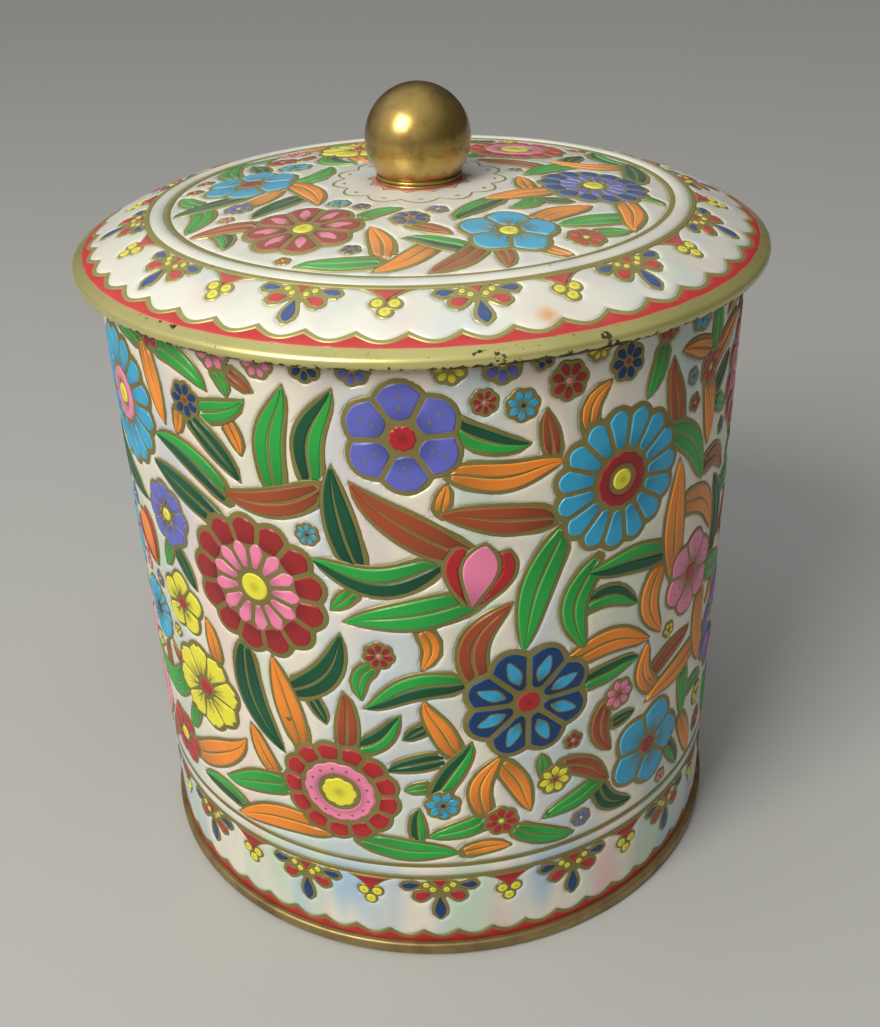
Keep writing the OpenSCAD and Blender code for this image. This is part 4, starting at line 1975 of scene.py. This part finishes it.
@dataclass
class LidAssembly:
    """The lid with its print, rolled rim and collar. Radii are from the tin's axis."""

    palette: Palette
    print_r: float = 62.1
    inner_line: tuple[float, float] = (45.75, 46.75)
    outer_line: tuple[float, float] = (49.5, 50.5)
    rosette_r: float = 16.3
    rosette_n: int = 13
    repeats: int = 12
    pendant_phase: float = 9.0
    trefoil_phase: float = -6.0
    hem_phase: float = 1.5
    skin_turns: int = 640
    rim_start: float = 84.0
    rim_end: float = -155.0
    flange: float = 0.8
    skin_top: tuple[float, float] = (6.0, 45.5)
    skin_ring: tuple[float, ...] = (46.3, 46.95, 47.4, 48.1, 48.8, 49.3, 49.9)
    skin_border: float = 50.6

    def __post_init__(self) -> None:
        """Works out the charts and the hem."""
        self.dome = DomeChart(PROFILE)
        r0 = self.outer_line[1]
        self.edge = BorderChart(PROFILE, r0)
        self.length = 2.0 * math.pi * r0
        phase = math.radians(self.hem_phase) * r0
        self.hem = Scallops(48, phase, cusp=r0 - 59.0, lobe=r0 - 60.6, red_cusp=r0 - 60.05,
                            red_lobe=r0 - 61.4, end=r0 - self.print_r)

    def flowers(self) -> Layout:
        """The top of the lid: six large heads in a ring, then leaves and small flowers by size.

        Returns:
            The layout.
        """
        reach = self.inner_line[0]
        sheet = Layout((-reach, -reach), (reach, reach), PITCH, seed=3)
        r = np.hypot(sheet.u[:, None], sheet.v[None, :])
        sheet.free = np.minimum(sheet.free, np.minimum(reach - 0.1 - r, r - self.rosette_r - 0.3))
        sheet.reach = reach - 0.4
        heads = (
            (Bloom.ROSETTE, -128.0, 32.0, 10.5, (Ink.WINE, Ink.PINK, Ink.YELLOW)),
            (Bloom.BUTTERCUP, -64.0, 33.0, 9.0, (Ink.TURQUOISE, Ink.YELLOW)),
            (Bloom.DAHLIA, -8.0, 32.0, 10.5, (Ink.NAVY, Ink.VIOLET, Ink.YELLOW)),
            (Bloom.MARIGOLD, 52.0, 32.0, 10.5, (Ink.RED, Ink.PINK, Ink.YELLOW)),
            (Bloom.COSMOS, 112.0, 32.0, 9.0, (Ink.YELLOW, Ink.RED)),
            (Bloom.ANEMONE, 172.0, 32.0, 9.5, (Ink.TURQUOISE, Ink.WINE)),
        )
        for k, (kind, angle, radius, size, inks) in enumerate(heads):
            a = math.radians(angle)
            sheet.add(Flower(kind, radius * math.cos(a), radius * math.sin(a), size, inks, 17.0 * k))
        sheet.grow(LEAF_INKS, 18.0, 13.0, 8)
        sizes = ((16.0, 11.0, 20, 3.6), (11.0, 7.5, 30, 2.6), (8.0, 5.5, 30, 2.0))
        for longest, shortest, most, flower in sizes:
            sheet.grow(LEAF_INKS, longest, shortest, most)
            sheet.sow(FLOWER_INKS, flower, max(1.4, flower - 1.2), 6)
        sheet.level_gaps()
        LOG.info("lid flowers: %d figures", len(sheet.motifs))
        return sheet

    def border(self) -> Layout:
        """One repeat of the lid's border: a pendant and a trefoil.

        Returns:
            The layout of the repeat.
        """
        period = self.length / self.repeats
        r0 = self.edge.radius
        sheet = Layout((-period / 2.0, r0 - self.print_r), (period / 2.0, 0.0), PITCH, period)
        sheet.top = 0.2
        sheet.add(*pendant(math.radians(self.pendant_phase) * r0, 0.0, 0.92, 0.78))
        sheet.add(*trefoil(math.radians(self.trefoil_phase) * r0, 0.0, 0.88, 0.8))
        hem = self.hem.white(self.length)(sheet.u[:, None])
        sheet.free = np.minimum(sheet.free, np.minimum(-sheet.v[None, :], sheet.v[None, :] - hem))
        return sheet

    def skin(self, flowers: Layout, border: Layout) -> Object:
        """The printed ground: the lid's profile turned about the axis, pressed up by the free distance.

        Args:
            flowers: Layout of the top.
            border: Layout of one repeat of the border.

        Returns:
            The skin.
        """
        a = np.linspace(0.0, 2.0 * np.pi, self.skin_turns, endpoint=False)[:, None]
        r = np.concatenate([np.linspace(*self.skin_top, 84), self.skin_ring,
                            np.linspace(self.skin_border, self.print_r + 0.3, 25)])[None, :]
        on_top = r < self.inner_line[0]
        on_ring = ~on_top & (r < self.outer_line[1])
        free = np.where(on_top, flowers.free_at(r * np.sin(a), -r * np.cos(a)),
                        border.free_at(a * self.edge.radius, self.edge.radius - r))
        lines = np.minimum(r - self.inner_line[1], self.outer_line[0] - r)
        free = np.where(on_ring, lines, np.where(r < self.rosette_r + 0.85, 0.6, free))
        h = ground_height(free)
        h[:, 0] = h[:, -1] = SKIN_EDGE
        points = np.stack([r * np.sin(a), -r * np.cos(a), PROFILE.top(r) + h], axis=-1)
        faces = grid_faces(self.skin_turns, r.shape[1], wrap=True)[:, ::-1]
        return make_object("lid_pearl_skin", points.reshape(-1, 3), faces, solid=False, free=free)

    def rosette(self, sheet: Print) -> None:
        """A rose ring whose points lie between gold-lined petals, and a gold dash on each petal.

        Args:
            sheet: Print that gathers the cells.
        """
        r0 = self.rosette_r
        chart = BorderChart(PROFILE, r0)
        length = 2.0 * math.pi * r0
        pitch = length / self.rosette_n

        def dip(u: Array) -> Array:
            """0 in the middle of a petal and 1 between two."""
            return 1.0 - np.abs(np.cos(np.pi * u / pitch))

        bands = ((Ink.GOLD, lambda u: 2.0 * dip(u), lambda u: 0.7 + 2.0 * dip(u)),
                 (Ink.GOLD, lambda u: r0 - 8.7 - 1.3 * dip(u), lambda u: r0 - 8.2 - 1.0 * dip(u)),
                 (Ink.ROSE, lambda u: r0 - 8.3 - 1.0 * dip(u), level(r0 - 7.2)))
        for ink, low, high in bands:
            sheet.put(ink, chart, loop_cell(length, self.rosette_n * 16, low, high, 0.05, PLATE_H))
        for k in range(self.rosette_n):
            for ink, cell in Drop(pitch * k - 0.7, 2.4, 0.0, 1.5, 0.3, Ink.GOLD, line=0.25).cells():
                sheet.put(ink, chart, cell.lifted(0.06))

    def build(self) -> None:
        """Makes the lid's panel, rim, skin, print and collar, and puts them on the lid."""
        s = SIZES
        r = np.concatenate([[s.hole_r], np.linspace(s.seat_r, self.print_r, 90)])
        lower = np.stack([r, PROFILE.middle(r) - s.sheet / 4.0], axis=1)
        panel = revolve("lid_panel", thick(lower, s.sheet / 2.0))
        mid = (s.rim_curl - s.sheet) / 2.0
        r = np.linspace(self.print_r, PROFILE.join[0], 14)
        path = np.vstack([np.stack([r, PROFILE.middle(r)], axis=1),
                          arc(s.rim_c, s.rim_z, mid, self.rim_start - s.rim_slope, self.rim_end, 40)])
        rim = revolve("lid_rolled_rim", thick(path, s.sheet))
        collar_mid = s.wall_r - s.mouth_curl - s.collar_gap - s.sheet / 2.0
        corner = 2.0 * s.sheet
        curl_r = (s.collar_curl - s.sheet) / 2.0
        curl_z = s.collar_low + s.sheet / 2.0 + curl_r
        path = np.vstack([[[s.rim_c + self.flange, s.rim_z]],
                          arc(collar_mid + corner, s.rim_z - corner, corner, 90.0, 180.0, 9),
                          arc(collar_mid - curl_r, curl_z, curl_r, 0.0, -180.0, 20)])
        collar = revolve("lid_inner_collar", thick(path, s.sheet))
        flowers, border = self.flowers(), self.border()
        skin = self.skin(flowers, border)
        sheet = Print()
        sheet.put_layout(self.dome, flowers, (0.0,))
        step = self.length / self.repeats
        sheet.put_layout(self.edge, border, tuple(step * k for k in range(self.repeats)))
        r0 = self.edge.radius
        for low, high in (self.inner_line, self.outer_line):
            line = loop_cell(self.length, 400, level(r0 - high), level(r0 - low), 0.04, PLATE_H)
            sheet.put(Ink.GOLD, self.edge, line)
        self.hem.lay(sheet, self.edge, self.length)
        self.rosette(sheet)
        for piece, finish in ((panel, "gold_lacquer"), (rim, "rim_gold"), (skin, "pearl_lid")):
            settle(self.palette, piece, finish, "lid", "lid_cover")
        settle(self.palette, collar, "gold_lacquer", "lid", "lid_collar")
        for ink, piece in sheet.pieces("lid_print").items():
            settle(self.palette, piece, f"lid_ink_{ink.value}", "lid")


@dataclass
class KnobAssembly:
    """The ball knob, its beaded base and its fastener."""

    palette: Palette

    def build(self) -> None:
        """Turns the ball and the base about the axis, and dresses the solids inside them."""
        s = SIZES
        neck = math.degrees(math.asin((s.neck_z - s.ball_z) / s.ball_r))
        inner = s.ball_r - s.ball_t
        low = math.degrees(math.asin((s.neck_z - s.ball_z) / inner))
        section = np.vstack([arc(0.0, s.ball_z, s.ball_r, 90.0, neck, 80),
                             arc(0.0, s.ball_z, inner, low, 90.0, 60)])
        ball = revolve("knob_ball_shell", section)
        bead = (s.neck_z - s.crown_z) / 4.0
        lower_r = s.base_r - bead
        section = np.vstack([[[s.hole_r, s.crown_z]],
                             arc(lower_r, s.crown_z + bead, bead, -90.0, 90.0, 14),
                             arc(lower_r - s.base_step, s.crown_z + 3.0 * bead, bead, -90.0, 90.0, 14),
                             [[s.hole_r, s.neck_z]]])
        base = revolve("knob_beaded_base", section)
        settle(self.palette, ball, "aged_brass", "lid", "knob_ball")
        settle(self.palette, base, "aged_brass", "lid", "knob_base")
        for node, finish in (("knob_plug", "plain_brass"), ("knob_screw", "bright_steel"),
                             ("screw_washer", "bright_steel")):
            self.palette.dress(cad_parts[node], finish)


@dataclass(frozen=True)
class Studio:
    """The floor, the lights and the camera, which is the photograph's, in a frame of 880 by 1027 pixels."""

    focal_px: float = 1213.19
    frame_h: float = 1027.0
    sensor: float = 36.0
    place: tuple[float, float, float] = (0.0, -225.27, 194.54)
    pitch: float = 0.5206
    roll: float = -0.0318
    yaw: float = 0.0082
    aim: tuple[float, float, float] = (0.0, 0.0, 0.07)

    def camera(self) -> None:
        """Makes the camera: pitch looks down, roll tilts and yaw turns it about the upright."""
        data = bpy.data.cameras.new("camera")
        data.sensor_width = self.sensor
        data.lens = self.focal_px * self.sensor / self.frame_h
        data.clip_start, data.clip_end = 0.01, 50.0
        cp, sp, cy, sy = math.cos(self.pitch), math.sin(self.pitch), math.cos(self.yaw), math.sin(self.yaw)
        ahead = Vector((sy * cp, cy * cp, -sp))
        right = Vector((cy, -sy, 0.0))
        up = right.cross(ahead)
        side = math.cos(self.roll) * right + math.sin(self.roll) * up
        head = math.cos(self.roll) * up - math.sin(self.roll) * right
        made = bpy.data.objects.new("camera", data)
        made.matrix_world = (Matrix.Translation(Vector(self.place) * MM)
                             @ Matrix((side, head, -ahead)).transposed().to_4x4())
        bpy.context.scene.collection.objects.link(made)
        bpy.context.scene.camera = made

    def light(self, name: str, place: tuple[float, float, float], size: tuple[float, float], power: float,
              colour: str) -> None:
        """A soft box that faces the tin.

        Args:
            name: Name of the light.
            place: Its middle, in metres.
            size: Its width and height, in metres.
            power: Its power in watts.
            colour: Its hex colour.
        """
        data = bpy.data.lights.new(name, "AREA")
        data.shape = "RECTANGLE"
        data.size, data.size_y = size
        data.energy = power
        data.color = srgb(colour)
        made = bpy.data.objects.new(name, data)
        made.location = place
        made.rotation_euler = (Vector(self.aim) - Vector(place)).to_track_quat("-Z", "Y").to_euler()
        bpy.context.scene.collection.objects.link(made)

    def room(self) -> None:
        """A plain grey room, lighter towards the window. It lights less than it shows in reflections."""
        world = bpy.data.worlds.new("room")
        bpy.context.scene.world = world
        world.use_nodes = True
        world.node_tree.nodes.clear()
        graph = Graph(world.node_tree)
        way = graph.node("ShaderNodeTexCoord").outputs["Generated"]
        side = graph.node("ShaderNodeVectorMath", {0: way, 1: (-0.45, -0.3, 0.84)}, operation="DOT_PRODUCT")
        tone = graph.blend(graph.ramp(side.outputs["Value"], 0.0, 1.0), srgb("#3c3e40"), srgb("#f2f3f4"))
        diffuse = graph.node("ShaderNodeLightPath").outputs["Is Diffuse Ray"]
        power = graph.math("SUBTRACT", 0.75, graph.math("MULTIPLY", diffuse, 0.55))
        shell = graph.node("ShaderNodeBackground", {"Color": tone, "Strength": power})
        graph.node("ShaderNodeOutputWorld", {"Surface": shell.outputs[0]})

    def build(self) -> None:
        """Makes the floor, the world, the lights and the camera."""
        corner = 3000.0
        points = np.array([[-corner, -corner, 0.0], [corner, -corner, 0.0], [corner, corner, 0.0],
                           [-corner, corner, 0.0]])
        floor = make_object("floor", points, np.array([[0, 1, 2], [0, 2, 3]]), solid=False)
        floor.data.materials.append(Matte("floor_paper", "#b4b3b0", 0.7).make())
        self.room()
        sun = bpy.data.lights.new("soft_sky", "SUN")
        sun.energy = 0.98
        sun.angle = math.radians(50.0)
        sky = bpy.data.objects.new("soft_sky", sun)
        sky.rotation_euler = Vector((0.05, 0.1, -1.0)).to_track_quat("-Z", "Y").to_euler()
        sky.visible_glossy = False
        bpy.context.scene.collection.objects.link(sky)
        self.light("window", (-0.58, -0.67, 0.82), (0.5, 0.55), 11.6, "#fbfaf0")
        bpy.context.scene.view_settings.view_transform = "Standard"
        self.camera()


def main() -> None:
    """Builds the tin in the frame, then the studio."""
    logging.basicConfig(level=logging.INFO, format="%(name)s: %(message)s")
    palette = Palette()
    for kind in (WallAssembly, BottomAssembly, LidAssembly, KnobAssembly):
        assembly = kind(palette)
        assembly.build()
        LOG.info("%s is built", type(assembly).__name__)
    Studio().build()
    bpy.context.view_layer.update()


if __name__ == "__main__":
    main()
